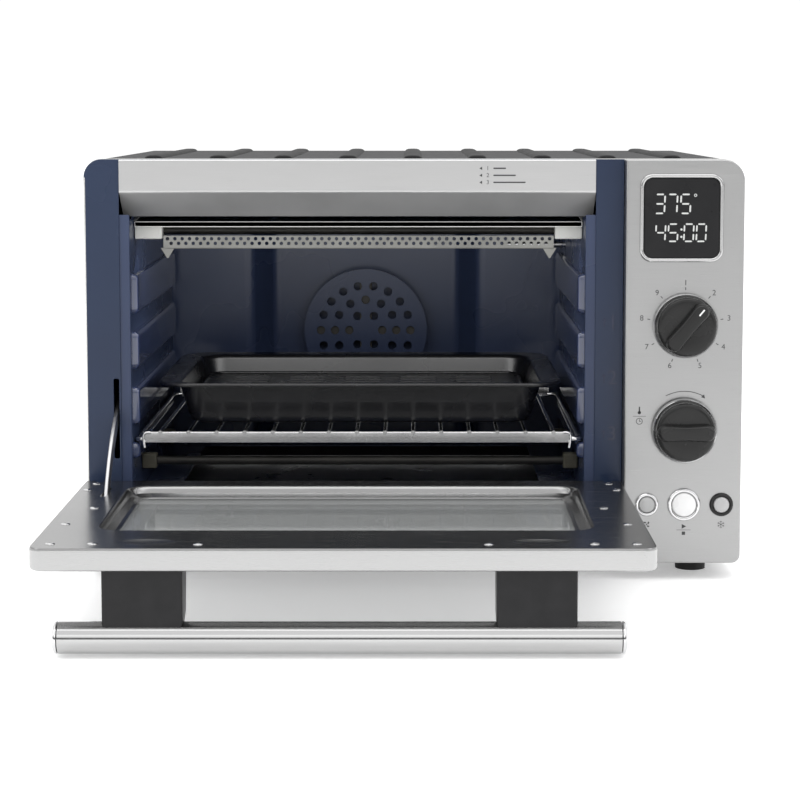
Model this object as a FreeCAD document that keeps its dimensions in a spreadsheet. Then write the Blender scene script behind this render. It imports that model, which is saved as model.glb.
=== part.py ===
"""Countertop toaster oven with a drop-down door, two knobs, three buttons, rack, pan and crumb tray.

Frame: millimetres, +Z up, front of the oven towards -Y.  The origin is on the table under the
middle of the oven's box with the door open, which is how it is drawn.
"""
import FreeCAD, Part
import math
import os
import Sketcher

V = FreeCAD.Vector

# Driving dimensions.  Names ending in _y are measured back from the front frame, names ending in
# _z up from the table and names ending in _x across from the oven's middle plane.
DIMENSIONS = {
    "front": -45, "case_half": 235, "case_top": 304, "case_bottom": 12.5, "case_depth": 308,
    "case_corner": 15, "rear_bump": 34, "sheet_skin": 1.2, "gap": 0.4, "rib_height": 2.2,
    "rib_pitch": 47, "rib_width": 13,
    "mouth_left": -210, "mouth_right": 131, "mouth_top": 262, "mouth_bottom": 56,
    "frame_right": 151, "cavity_inset": 7, "cavity_depth": 272, "cavity_bump": 30,
    "cavity_middle": -40, "pad_raise": 5, "bump_half": 84,
    "panel_proud": 15, "visor_top": 301.5, "visor_fold": 277,
    "visor_slope": 23,
    "door_centre": -42.5, "door_half": 192, "door_reach": 239.5, "door_corner": 10,
    "hinge_forward": 12.5, "hinge_height": 61.5, "roll_radius": 10.5, "door_back": 4,
    "recess_half": 158, "recess_near": 34, "recess_far": 194, "recess_width": 10,
    "recess_drop": 7, "window_corner": 14,
    "bar_radius": 10, "bar_half": 177, "bar_centre": -45, "bar_height": 12, "bar_forward": 232,
    "cap_length": 3, "cap_round": 1.6, "bracket_offset": 121.6, "bracket_half": 25, "bracket_back": 20,
    "knob_x": 193.8, "selector_height": 184, "setter_height": 109, "knob_radius": 21,
    "ring_radius": 22.2, "knob_reach": 20, "shaft_radius": 3, "shaft_play": 0.05,
    "rotor_radius": 4.3,
    "display_x": 190.5, "display_height": 260.5, "display_half": 26.7, "display_tall": 28.2,
    "button_height": 55.2, "fan_button_x": 167.7, "start_button_x": 194.3,
    "frozen_button_x": 221.1, "button_radius": 5.6, "start_radius": 8.6, "button_play": 0.3,
    "button_reach": 3.2, "press_travel": 1.5,
    "rack_height": 100, "rack_left": -196, "rack_right": 115, "rack_pitch": 20.4,
    "wire_radius": 1.6, "side_wire": 2, "rack_front_y": 11, "rack_depth": 252,
    "pan_left": -188, "pan_right": 110, "pan_floor": 106.2, "pan_rim": 138, "pan_front_y": 21,
    "pan_depth": 205, "pan_skin": 1.2, "pan_lip": 15,
    "element_radius": 3.3, "upper_element_z": 249, "lower_element_z": 75,
    "guard_bottom": 236, "guard_top": 245.5, "guard_pitch": 5.36, "guard_hole": 1.25,
    "guard_y": 30,
    "tray_bottom": 39, "tray_top": 46, "tray_left": -186, "tray_right": 108,
    "tray_depth": 262,
    "arm_x": -212.2, "arm_skin": 2.3, "arm_width": 9, "arm_radius": 150, "arm_pivot_y": -59,
    "arm_pivot_z": 65, "arm_start": 145.9, "arm_sweep": 42, "pin_radius": 2.5,
    "foot_radius": 11, "foot_inset_x": 205, "foot_front_y": 30, "foot_back_y": 280,
    "fan_radius": 52, "fan_z": 150, "gland_x": 150, "gland_z": 60, "gland_bore": 3.8,
}
RACK_LEVELS = (104, 144.5, 184.7)
DOOR_SCREWS = ((180, 238), (154, 238), (89, 239), (180.5, 175), (170, 119), (185, 50), (182, 25))


class Size:
    """A length that keeps its value and the sheet expression that drives it."""

    def __init__(self, value, text):
        self.value, self.text = float(value), text

    def __add__(self, other):
        other = size(other)
        return Size(self.value + other.value, f"{self.text} + {other.text}")

    def __radd__(self, other):
        return size(other) + self

    def __sub__(self, other):
        other = size(other)
        return Size(self.value - other.value, f"{self.text} - ({other.text})")

    def __rsub__(self, other):
        return size(other) - self

    def __mul__(self, factor):
        factor = size(factor)
        return Size(self.value * factor.value, f"({self.text}) * ({factor.text})")

    def __rmul__(self, factor):
        return size(factor) * self

    def __truediv__(self, factor):
        return self * (1 / factor)

    def __neg__(self):
        return self * -1


def size(number):
    """A plain number as a Size; a Size is left as it is."""
    return number if isinstance(number, Size) else Size(number, f"({float(number):.6f})")


class Sheet:
    """Reads a driving dimension by its name."""

    def __getattr__(self, name):
        return Size(DIMENSIONS[name], f"dims.{name}")


D = Sheet()
doc = FreeCAD.newDocument("toaster_oven")
parts = []


def fill_sheet():
    """Put the driving dimensions in the document's spreadsheet."""
    sheet = doc.addObject("Spreadsheet::Sheet", "dims")
    for row, (name, value) in enumerate(DIMENSIONS.items(), 1):
        sheet.set(f"A{row}", name)
        sheet.set(f"B{row}", str(value))
        sheet.setAlias(f"B{row}", name)
    doc.recompute()


def bind(obj, name, length):
    """Drive one property of an object from the sheet."""
    obj.setExpression(name, size(length).text)


def keep(obj, label):
    """Name an object as a finished piece of the oven."""
    obj.Label = label
    parts.append(obj)
    return obj


# ---------------------------------------------------------------- solids from primitives

def box(x_span, y_span, z_span):
    """A block between two values on each axis."""
    block = doc.addObject("Part::Box", "block")
    for axis, side, (low, high) in zip("xyz", ("Length", "Width", "Height"),
                                       (x_span, y_span, z_span)):
        bind(block, f"Placement.Base.{axis}", low)
        bind(block, side, size(high) - low)
    return block


def turned_block(low, high, spot, turn):
    """A block between two corners, measured from a spot and turned about its Y axis."""
    block = doc.addObject("Part::Box", "turned_block")
    for side, near, far in zip(("Length", "Width", "Height"), low, high):
        bind(block, side, size(far) - near)
    block.Placement = FreeCAD.Placement(spot, FreeCAD.Rotation(V(0, 1, 0), turn)).multiply(
        FreeCAD.Placement(V(*low), FreeCAD.Rotation()))
    return block


TURNS = {"x": FreeCAD.Rotation(V(0, 1, 0), 90), "y": FreeCAD.Rotation(V(1, 0, 0), -90),
         "z": FreeCAD.Rotation()}


def rod(axis, radius, span, **centre):
    """A cylinder along an axis, between two values on it; centre gives the other two."""
    shaft = doc.addObject("Part::Cylinder", "rod")
    shaft.Placement = FreeCAD.Placement(V(0, 0, 0), TURNS[axis])
    bind(shaft, "Radius", radius)
    bind(shaft, "Height", size(span[1]) - span[0])
    bind(shaft, f"Placement.Base.{axis}", span[0])
    for name, value in centre.items():
        bind(shaft, f"Placement.Base.{name}", value)
    return shaft


def join(*shapes):
    """One solid from several that meet."""
    fused = doc.addObject("Part::MultiFuse", "joined")
    fused.Shapes = list(shapes)
    fused.Refine = True
    return fused


def group(*shapes):
    """Several separate solids in one piece group."""
    together = doc.addObject("Part::Compound", "group")
    together.Links = list(shapes)
    return together


def cut(base, *tools):
    """A solid with others taken out of it."""
    result = doc.addObject("Part::Cut", "cut")
    result.Base = base
    result.Tool = tools[0] if len(tools) == 1 else group(*tools)
    return result


def common(base, tool):
    """What two solids share."""
    result = doc.addObject("Part::Common", "common")
    result.Base, result.Tool = base, tool
    return result


# ---------------------------------------------------------------- solids from sketches

PLANES = {"y": "XZ_Plane", "z": "XY_Plane", "x": "YZ_Plane"}


def rectangle(u_span, v_span, corner=0):
    """An outline for a sketch: a rectangle, its corners rounded if corner is given."""
    def draw(sketch):
        u0, u1, v0, v1 = (size(value) for value in (*u_span, *v_span))
        if not size(corner).value:
            return polygon((u0, v0), (u1, v0), (u1, v1), (u0, v1))(sketch)
        r = size(corner)
        centres = [(u1 - r, v0 + r, -90), (u1 - r, v1 - r, 0), (u0 + r, v1 - r, 90),
                   (u0 + r, v0 + r, 180)]
        arcs = []
        for u, v, start in centres:
            circle = Part.Circle(V(u.value, v.value, 0), V(0, 0, 1), r.value)
            arc = Part.ArcOfCircle(circle, math.radians(start), math.radians(start + 90))
            arcs.append(sketch.addGeometry(arc, False))
            place_point(sketch, arcs[-1], 3, u, v)
        for index, arc in enumerate(arcs):
            after = arcs[(index + 1) % 4]
            ends = [sketch.getPoint(arc, 2), sketch.getPoint(after, 1)]
            line = sketch.addGeometry(Part.LineSegment(*ends), False)
            sketch.addConstraint(Sketcher.Constraint("Tangent", arc, 2, line, 1))
            sketch.addConstraint(Sketcher.Constraint("Tangent", line, 2, after, 1))
            if index < 3:
                level = "Vertical" if index % 2 == 0 else "Horizontal"
                sketch.addConstraint(Sketcher.Constraint(level, line))
        number = sketch.addConstraint(Sketcher.Constraint("Radius", arcs[0], r.value))
        sketch.setExpression(f"Constraints[{number}]", r.text)
    return draw


def place_point(sketch, item, point, u, v):
    """Hold one point of a sketch at two driven distances from the origin."""
    for kind, length in (("DistanceX", size(u)), ("DistanceY", size(v))):
        rule = Sketcher.Constraint(kind, -1, 1, item, point, length.value)
        number = sketch.addConstraint(rule)
        sketch.setExpression(f"Constraints[{number}]", length.text)


def polygon(*corners):
    """An outline for a sketch: straight sides between the corners."""
    def draw(sketch):
        spots = [V(size(u).value, size(v).value, 0) for u, v in corners]
        sides = [sketch.addGeometry(Part.LineSegment(spot, spots[(i + 1) % len(spots)]), False)
                 for i, spot in enumerate(spots)]
        for i, side in enumerate(sides):
            after = sides[(i + 1) % len(sides)]
            sketch.addConstraint(Sketcher.Constraint("Coincident", side, 2, after, 1))
            place_point(sketch, side, 1, *corners[i])
    return draw


def circle(u, v, radius):
    """An outline for a sketch: a circle."""
    def draw(sketch):
        u_size, v_size, r = size(u), size(v), size(radius)
        ring = sketch.addGeometry(
            Part.Circle(V(u_size.value, v_size.value, 0), V(0, 0, 1), r.value), False)
        place_point(sketch, ring, 3, u_size, v_size)
        number = sketch.addConstraint(Sketcher.Constraint("Radius", ring, r.value))
        sketch.setExpression(f"Constraints[{number}]", r.text)
    return draw


def sketch_on(body, axis, level, *outlines):
    """A sketch in a body, square to an axis at a level on it."""
    sketch = body.newObject("Sketcher::SketchObject", "outline")
    plane = [item for item in body.Origin.OriginFeatures if item.Role == PLANES[axis]][0]
    sketch.AttachmentSupport = [(plane, "")]
    sketch.MapMode = "FlatFace"
    bind(sketch, "AttachmentOffset.Base.z", -size(level) if axis == "y" else level)
    for outline in outlines:
        outline(sketch)
    return sketch


def padded(axis, span, *outlines):
    """A body with one pad between two levels on an axis; outlines inside others are holes."""
    body = doc.addObject("PartDesign::Body", "body")
    add_pad(body, axis, span, *outlines)
    return body


def add_pad(body, axis, span, *outlines):
    """One more pad on a body."""
    low, high = span
    pad = body.newObject("PartDesign::Pad", "pad")
    pad.Profile = sketch_on(body, axis, high if axis == "y" else low, *outlines)
    bind(pad, "Length", size(high) - low)
    doc.recompute()
    return pad


def pocket(body, axis, span, *outlines):
    """Cut outlines out of a body between two levels, and check that something went."""
    low, high = span
    before = body.Shape.Volume
    hole = body.newObject("PartDesign::Pocket", "pocket")
    hole.Profile = sketch_on(body, axis, low if axis == "y" else high, *outlines)
    bind(hole, "Length", size(high) - low)
    doc.recompute()
    if not body.Shape.Volume < before - 1e-6:
        raise RuntimeError(f"a pocket cut nothing along {axis} at {size(low).value}")
    return hole


def row_of(body, hole, count, pitch, axis="H_Axis"):
    """Repeat a pad or a pocket in a straight row along its sketch."""
    pattern = body.newObject("PartDesign::LinearPattern", "row")
    pattern.Originals = [hole]
    pattern.Direction = (hole.Profile[0], [axis])
    pattern.Occurrences = count
    bind(pattern, "Length", size(pitch) * (count - 1))
    body.Tip = pattern
    doc.recompute()
    return pattern


def lofted(*sections):
    """A body lofted through outlines at heights: (z, outline) from the bottom up."""
    body = doc.addObject("PartDesign::Body", "body")
    loft_into(body, "PartDesign::AdditiveLoft", sections)
    return body


def loft_into(body, kind, sections):
    """Add or cut one loft in a body."""
    sketches = [sketch_on(body, "z", level, outline) for level, outline in sections]
    loft = body.newObject(kind, "loft")
    loft.Profile = sketches[0]
    loft.Sections = sketches[1:]
    doc.recompute()
    return loft


# ---------------------------------------------------------------- case and cavity

F = D.front
SKIN = D.sheet_skin
CASE_IN = D.case_half - SKIN
CASE_BACK = F + D.case_depth
WALL_LEFT = D.mouth_left + D.cavity_inset
WALL_RIGHT = D.mouth_right - D.cavity_inset
CAVITY_BACK = F + D.cavity_depth


def make_case():
    """The outer cover with its ribs, the base pan and the bulged rear cover."""
    top = D.case_top - D.rib_height
    cover = padded("y", (F + SKIN + D.gap, CASE_BACK),
                   rectangle((-D.case_half, D.case_half), (D.case_bottom - 30, top),
                             D.case_corner))
    pocket(cover, "y", (F, CASE_BACK + 1),
           rectangle((-CASE_IN, CASE_IN), (D.case_bottom - 40, top - SKIN),
                     D.case_corner - SKIN))
    pocket(cover, "y", (F, CASE_BACK + 1),
           rectangle((-D.case_half - 1, D.case_half + 1), (D.case_bottom - 50, D.case_bottom)))
    first = -4 * D.rib_pitch
    rib = add_pad(cover, "z", (top - SKIN / 2, D.case_top), rectangle(
        (first - D.rib_width / 2, first + D.rib_width / 2), (F + 22, CASE_BACK - 18),
        D.rib_width / 2.02))
    row_of(cover, rib, 9, D.rib_pitch)
    keep(cover, "outer_cover")

    inner = CASE_IN - D.gap
    base = padded("z", (D.case_bottom, D.case_bottom + SKIN),
                  rectangle((-inner, inner), (F + 8, CASE_BACK - 2)))
    for side in (-1, 1):
        edges = sorted((side * inner, side * (inner - SKIN)), key=lambda edge: edge.value)
        add_pad(base, "z", (D.case_bottom, D.case_bottom + 24),
                rectangle(edges, (F + 8, CASE_BACK - 2)))
    keep(base, "base_pan")

    back = padded("y", (CASE_BACK + D.gap, CASE_BACK + D.gap + SKIN),
                  rectangle((-D.case_half + 1, D.case_half - 1),
                            (D.case_bottom + 1, D.case_top - D.rib_height - 1), D.case_corner))
    bump_low, bump_high = D.mouth_bottom + 20, D.mouth_top - 10
    tip = CASE_BACK + D.rear_bump
    start = CASE_BACK + D.gap
    left, right = D.cavity_middle - 130, D.cavity_middle + 130
    pocket(back, "y", (start - 1, tip), rectangle((left, right), (bump_low, bump_high)))
    outer = polygon((left, start), (right, start), (right - 42, tip), (left + 42, tip))
    hollow = polygon((left + 2, start - 1), (right - 2, start - 1), (right - 43.4, tip - SKIN),
                     (left + 43.4, tip - SKIN))
    add_pad(back, "z", (bump_low, bump_high), outer)
    pocket(back, "z", (bump_low + SKIN, bump_high - SKIN), hollow)
    vent = pocket(back, "y", (tip - 3, tip + 1),
                  rectangle((D.cavity_middle - 78, D.cavity_middle - 73), (bump_low + 30,
                                                                          bump_high - 30), 2.2))
    row_of(back, vent, 14, 12)
    keep(back, "rear_cover")


def make_front_frame():
    """The enamelled pressed frame round the mouth, with the slot for the door's arm."""
    frame = padded("y", (F, F + SKIN),
                   rectangle((-D.case_half, D.frame_right), (D.case_bottom,
                                                             D.case_top - D.rib_height)))
    pocket(frame, "y", (F - 1, F + 3),
           rectangle((D.mouth_left, D.mouth_right), (D.mouth_bottom, D.visor_fold + 1)))
    pocket(frame, "y", (F - 1, F + 3),
           rectangle((D.tray_left - 4, D.tray_right + 4), (D.tray_bottom - 16,
                                                          D.tray_top + 2.5)))
    pocket(frame, "y", (F - 1, F + 3),
           rectangle((D.arm_x - 3.1, D.arm_x + 0.8), (86, 144), 1.2))
    pocket(frame, "y", (F - 1, F + 3),
           polygon((-D.case_half - 1, D.case_top + 1), (-D.case_half - 1, D.case_top - 12),
                   (-D.case_half + 4, D.case_top - 5), (-D.case_half + 10, D.case_top - 0.5),
                   (-D.case_half + 10, D.case_top + 1)))
    keep(frame, "front_frame")

    lip = D.mouth_top - 2
    visor = padded("x", (D.mouth_left + 0.3, D.mouth_right - 0.3),
                   polygon((F - 0.9, D.visor_top), (F - 0.9, D.visor_fold),
                           (F + 22, lip), (F + 23, lip + 1), (F - 0.1, D.visor_fold + 0.6),
                           (F - 0.1, D.visor_top)))
    keep(visor, "top_visor")


def make_cavity():
    """The enamelled liner: two walls, ceiling, floor and the faceted back wall."""
    inside = F + SKIN + D.gap
    ends = (inside, CAVITY_BACK - D.gap)
    low, high = D.mouth_bottom - SKIN, D.mouth_top + 12
    for name, face, side in (("cavity_left_wall", WALL_LEFT, -1),
                             ("cavity_right_wall", WALL_RIGHT, 1)):
        span = (face - SKIN, face) if side < 0 else (face, face + SKIN)
        wall = padded("x", span, rectangle(ends, (low, high)))
        pocket(wall, "x", span, rectangle((F, F + 24.5), (D.mouth_top - 4, high + 1)))
        keep(wall, name)
    between = (WALL_LEFT + D.gap, WALL_RIGHT - D.gap)
    keep(padded("z", (high - SKIN, high), rectangle(between, (F + 26, CAVITY_BACK - D.gap))),
         "cavity_ceiling")
    floor = padded("z", (low, low + SKIN), rectangle(between, ends))
    pocket(floor, "z", (low - 1, low + 3),
           rectangle((D.tray_left + 12, D.tray_right - 12), (F + 40, F + 255), 8))
    keep(floor, "cavity_floor")

    back_y, deep = CAVITY_BACK, CAVITY_BACK + D.cavity_bump
    middle, half = D.cavity_middle, D.bump_half
    back = padded("z", (low, high), polygon(
        (WALL_LEFT - SKIN, back_y), (WALL_LEFT + 4, back_y), (middle - half, deep),
        (middle + half, deep), (WALL_RIGHT - 4, back_y), (WALL_RIGHT + SKIN, back_y),
        (WALL_RIGHT + SKIN, back_y + SKIN), (WALL_RIGHT - 4, back_y + SKIN),
        (middle + half + 1, deep + SKIN), (middle - half - 1, deep + SKIN),
        (WALL_LEFT + 4, back_y + SKIN), (WALL_LEFT - SKIN, back_y + SKIN)))
    pocket(back, "y", (deep - 1, deep + 3), circle(middle, D.fan_z, 4))
    keep(back, "cavity_back_wall")

    for name, face, side in (("left_rack_guides", WALL_LEFT, 1),
                             ("right_rack_guides", WALL_RIGHT, -1)):
        near, far = (face, face + D.pad_raise) if side > 0 else (face - D.pad_raise, face)
        edges = [84] + [level + step for level in RACK_LEVELS for step in (-8, 5)] + [219]
        keep(group(*[box((near, far), (F + 10, F + 256), (low, high))
                     for low, high in zip(edges[::2], edges[1::2])]), name)


def make_fan():
    """The convection fan: motor behind the back wall, blade and grille inside it."""
    deep = CAVITY_BACK + D.cavity_bump
    middle = {"x": D.cavity_middle, "z": D.fan_z}
    motor = join(rod("y", 14, (deep + SKIN + 0.6, CASE_BACK + D.rear_bump - 3), **middle),
                 box((D.cavity_middle - 30, D.cavity_middle + 30),
                     (deep + SKIN + 0.6, deep + SKIN + 2.2), (D.fan_z - 9, D.fan_z + 9)))
    keep(cut(motor, rod("y", D.shaft_radius + D.shaft_play, (deep, deep + SKIN + 9), **middle)),
         "fan_motor")
    blades = [rod("y", 8, (deep - 13, deep - 2), **middle),
              rod("y", D.shaft_radius, (deep - 10, deep + SKIN + 8), **middle)]
    spot = V(D.cavity_middle.value, deep.value, D.fan_z.value)
    blades += [turned_block((-5, -13, 6), (5, -3, D.fan_radius - 8), spot, 90 * step)
               for step in range(4)]
    keep(join(*blades), "fan_blade")
    grille = padded("y", (deep - 18, deep - 16.8), circle(D.cavity_middle, D.fan_z, D.fan_radius))
    for ring, count in ((14, 6), (26, 12), (38, 18)):
        spots = [circle(D.cavity_middle + ring * math.cos(2 * math.pi * k / count),
                        D.fan_z + ring * math.sin(2 * math.pi * k / count), 3.6)
                 for k in range(count)]
        pocket(grille, "y", (deep - 19, deep - 16), *spots)
    for side in (-1, 1):
        low = D.cavity_middle + side * (D.fan_radius - 4) - 3
        add_pad(grille, "y", (deep - 17.5, deep), rectangle((low, low + 6), (D.fan_z - 5,
                                                                          D.fan_z + 5)))
    keep(grille, "fan_grille")


# ---------------------------------------------------------------- heaters

def make_heaters():
    """Tubular elements on their ceramic ends, the reflector lip and the perforated guard."""
    left, right = WALL_LEFT + D.gap, WALL_RIGHT - D.gap
    upper = [rod("x", D.element_radius, (left, right), y=F + 42 + shift, z=D.upper_element_z)
             for shift in (0, 90, 180)]
    keep(group(*upper), "upper_elements")
    lower = [rod("x", D.element_radius, (left, right), y=F + 60 + shift, z=D.lower_element_z)
             for shift in (0, 120)]
    keep(group(*lower), "lower_elements")
    blocks, bushes = [], []
    for near, far in ((left, left + 20), (right - 20, right)):
        for shift in (0, 90, 180):
            bar = D.upper_element_z
            block = box((near, far), (F + 36 + shift, F + 48 + shift), (bar - 5, bar + 5))
            blocks.append(cut(block, rod("x", D.element_radius + 0.05, (near - 1, far + 1),
                                         y=F + 42 + shift, z=bar)))
    for near, far in ((left, left + 11), (right - 11, right)):
        for shift in (0, 120):
            bar = D.lower_element_z
            bush = rod("x", 5.5, (near, far), y=F + 60 + shift, z=bar)
            bushes.append(cut(bush, rod("x", D.element_radius + 0.05, (near - 1, far + 1),
                                        y=F + 60 + shift, z=bar)))
    keep(group(*blocks), "upper_element_blocks")
    keep(group(*bushes), "lower_element_bushes")

    lip = padded("x", (left + 0.5, right - 0.5), polygon(
        (F + 25, 252), (F + 25, 255.6), (F + 200, 268), (F + 240, 268), (F + 240, 267.2),
        (F + 200, 267.2), (F + 26, 254.8), (F + 26, 252)))
    keep(lip, "heat_reflector")

    count = 58
    start = (D.mouth_left + D.mouth_right) / 2 - D.guard_pitch * (count - 1) / 2
    strip = padded("y", (F + D.guard_y, F + D.guard_y + 0.8),
                   rectangle((left + 0.5, right - 0.5), (D.guard_bottom, D.guard_top)))
    hole = pocket(strip, "y", (F + D.guard_y - 1, F + D.guard_y + 2),
                  circle(start, D.guard_bottom + 3, D.guard_hole),
                  circle(start, D.guard_bottom + 6.8, D.guard_hole))
    row_of(strip, hole, count, D.guard_pitch)
    add_pad(strip, "z", (D.guard_bottom, D.guard_bottom + 0.8),
            rectangle((left + 0.5, right - 0.5), (F + D.guard_y, F + D.guard_y + 9)))
    keep(strip, "heater_guard")
    probe = rod("x", 2.5, (WALL_RIGHT - 46, WALL_RIGHT + 14), y=F + 255, z=225)
    probe_wall = next(piece for piece in parts if piece.Label == "cavity_right_wall")
    pocket(probe_wall, "x", (WALL_RIGHT - 1, WALL_RIGHT + 3), circle(F + 255, 225, 2.6))
    keep(probe, "temperature_probe")


# ---------------------------------------------------------------- control panel

PANEL_LEFT = D.frame_right
PANEL_FACE = F - D.panel_proud
PANEL_HOLES_Y = (PANEL_FACE - 1, PANEL_FACE + 3)
BOARD_Y = F + 6


def make_panel():
    """The brushed panel with its display, encoders, button rings and circuit boards."""
    right = D.case_half
    top, spare = D.case_top - D.rib_height, 2 * D.case_corner
    panel = padded("y", (PANEL_FACE, F + SKIN),
                   rectangle((PANEL_LEFT - spare, right), (D.case_bottom, top), D.case_corner))
    pocket(panel, "y", (PANEL_FACE - 1, F + 3),
           rectangle((PANEL_LEFT - spare - 1, PANEL_LEFT + 0.2), (D.case_bottom - 1, top + 1)))
    pocket(panel, "y", (PANEL_FACE + 1.5, F + 3),
           rectangle((PANEL_LEFT + 1.4, right - SKIN), (D.case_bottom + SKIN, top - SKIN),
                     D.case_corner - SKIN))
    pocket(panel, "y", PANEL_HOLES_Y, rectangle(
        (D.display_x - D.display_half - 0.2, D.display_x + D.display_half + 0.2),
        (D.display_height - D.display_tall - 0.2, D.display_height + D.display_tall + 0.2), 6))
    for height in (D.selector_height, D.setter_height):
        pocket(panel, "y", PANEL_HOLES_Y, circle(D.knob_x, height, 5.5))
    for middle, radius in button_places():
        pocket(panel, "y", PANEL_HOLES_Y, circle(middle, D.button_height, radius + 1))
    keep(panel, "control_panel")


def button_places():
    """Across position and cap radius of each of the three buttons."""
    return ((D.fan_button_x, D.button_radius), (D.start_button_x, D.start_radius),
            (D.frozen_button_x, D.button_radius))


def make_display():
    """Bezel, window, module and the two circuit boards behind the panel."""
    x, z, half, tall = D.display_x, D.display_height, D.display_half, D.display_tall
    bezel = padded("y", (PANEL_FACE - 1.6, PANEL_FACE - 0.05),
                   rectangle((x - half - 3, x + half + 3), (z - tall - 3, z + tall + 3), 8),
                   rectangle((x - half, x + half), (z - tall, z + tall), 6))
    keep(bezel, "display_bezel")
    keep(padded("y", (PANEL_FACE - 0.6, PANEL_FACE + 1.2),
                rectangle((x - half + 0.1, x + half - 0.1), (z - tall + 0.1, z + tall - 0.1),
                          5.9)), "display_window")
    keep(padded("y", (PANEL_FACE + 1.8, PANEL_FACE + 8),
                rectangle((x - half + 1, x + half - 1), (z - tall + 1, z + tall - 1), 2)),
         "display_module")
    board = box((PANEL_LEFT + 8, D.case_half - 6), (BOARD_Y, BOARD_Y + 1.6), (34, 290))
    power = box((PANEL_LEFT + 20, PANEL_LEFT + 21.6), (F + 60, F + 240), (60, 190))
    relays = [box((PANEL_LEFT + 21.6, PANEL_LEFT + 37), (F + start, F + start + 28), (80, 100))
              for start in (80, 125, 170)]
    keep(group(board, join(power, *relays)), "circuit_boards")


def make_encoders():
    """A rotary encoder behind each knob, bored for its shaft."""
    for name, height in (("selector_encoder", D.selector_height),
                         ("setter_encoder", D.setter_height)):
        centre = {"x": D.knob_x, "z": height}
        body = box((D.knob_x - 8, D.knob_x + 8), (PANEL_FACE + 2, BOARD_Y),
                   (height - 8, height + 8))
        nose = rod("y", 5, (PANEL_FACE - 3, PANEL_FACE + 4), **centre)
        hole = D.shaft_radius + D.shaft_play
        if name == "setter_encoder":
            hole = D.rotor_radius + D.shaft_play
        bore = rod("y", hole, (PANEL_FACE - 4, PANEL_FACE + 12), **centre)
        keep(cut(join(body, nose), bore), name)
    centre = {"x": D.knob_x, "z": D.setter_height}
    sleeve = rod("y", D.rotor_radius, (PANEL_FACE + 1, PANEL_FACE + 9), **centre)
    keep(cut(sleeve, rod("y", D.shaft_radius + D.shaft_play, (PANEL_FACE, PANEL_FACE + 10),
                         **centre)), "setter_rotor")


def make_knobs():
    """Two black knobs, each with a polished skirt ring; the lower one also pushes in."""
    face = PANEL_FACE
    for name, height, grip_turn, play in (("selector", D.selector_height, -40, 0.8),
                                          ("setter", D.setter_height, 90, 2.6)):
        centre = {"x": D.knob_x, "z": height}
        reach = (face - D.knob_reach, face - play - 4)
        spot = V(D.knob_x.value, (face - D.knob_reach + 8).value, height.value)
        grip = turned_block((-3.2, -8, -19), (3.2, 0, 19), spot, -grip_turn)
        disc = rod("y", D.knob_radius, (face - D.knob_reach + 7, face - play - 2), **centre)
        hub = rod("y", 7, (face - D.knob_reach + 7, face - play - 2), **centre)
        hollow = cut(disc, cut(rod("y", D.knob_radius - 2.5,
                                   (face - D.knob_reach + 10, face - play), **centre), hub))
        shaft = rod("y", D.shaft_radius, (face - play - 3, face + 9), **centre)
        nose_room = rod("y", 5.4, (face - 3 - play, face - play), **centre)
        knob = cut(join(hollow, grip), nose_room)
        keep(join(knob, shaft), f"{name}_knob")
        ring = cut(rod("y", D.ring_radius, (face - play - 4.5, face - play), **centre),
                   rod("y", D.knob_radius + 0.02, (face - play - 5, face), **centre))
        keep(ring, f"{name}_ring")


def make_buttons():
    """Three sprung push buttons in their rings."""
    rings = []
    for name, (middle, radius) in zip(("fan_button", "start_button", "frozen_button"),
                                      button_places()):
        centre = {"x": middle, "z": D.button_height}
        cap = rod("y", radius, (PANEL_FACE - D.button_reach, PANEL_FACE + 6), **centre)
        flange = rod("y", radius + 1.6, (PANEL_FACE + 1.9, PANEL_FACE + 4), **centre)
        stem = rod("y", 2.5, (PANEL_FACE + 3, BOARD_Y - D.press_travel - 0.4), **centre)
        keep(join(cap, flange, stem), name)
        ring = rod("y", radius * 1.06 + 2.2, (PANEL_FACE - 2, PANEL_FACE - 0.05), **centre)
        rings.append(cut(ring, rod("y", radius + D.button_play,
                                   (PANEL_FACE - 3, PANEL_FACE + 1), **centre)))
    keep(group(*rings), "button_rings")


# ---------------------------------------------------------------- door, drawn open

HINGE_Y = F - D.hinge_forward
DOOR_IN = D.hinge_height + D.roll_radius
DOOR_OUT = D.hinge_height - D.door_back
DOOR_EDGE = HINGE_Y - D.door_reach
DOOR_LEFT = D.door_centre - D.door_half
DOOR_RIGHT = D.door_centre + D.door_half
HINGE_EARS = (DOOR_LEFT + 8, DOOR_RIGHT - 12)


def door_blank(low, high, inset):
    """The door's outline in plan, inset all round, between two heights."""
    return padded("z", (low, high),
                  rectangle((DOOR_LEFT + inset, DOOR_RIGHT - inset),
                            (DOOR_EDGE + inset, HINGE_Y + 40), D.door_corner - inset))


def door_profile(inset):
    """The door's side profile with its rolled hinge edge, right across."""
    block = box((DOOR_LEFT - 1, DOOR_RIGHT + 1), (DOOR_EDGE - 1, HINGE_Y),
                (DOOR_OUT + inset, DOOR_IN - inset))
    roll = rod("x", D.roll_radius - inset, (DOOR_LEFT - 1, DOOR_RIGHT + 1),
               y=HINGE_Y, z=D.hinge_height)
    quarter = box((DOOR_LEFT - 2, DOOR_RIGHT + 2), (HINGE_Y, HINGE_Y + 20),
                  (DOOR_OUT + inset, DOOR_IN + 20))
    return join(block, common(roll, quarter))


def hinge_notches():
    """Gaps in the rolled edge that let the fixed hinge ears in."""
    return [box((near - 1, near + 5), (HINGE_Y - 6, HINGE_Y + 20), (DOOR_OUT - 1, DOOR_IN + 1))
            for near in HINGE_EARS]


def screw_places():
    """Where the screws that hold the inner frame to the shell stand."""
    return [{"x": D.door_centre + side * across, "y": F - forward}
            for across, forward in DOOR_SCREWS for side in (-1, 1)]


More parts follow.
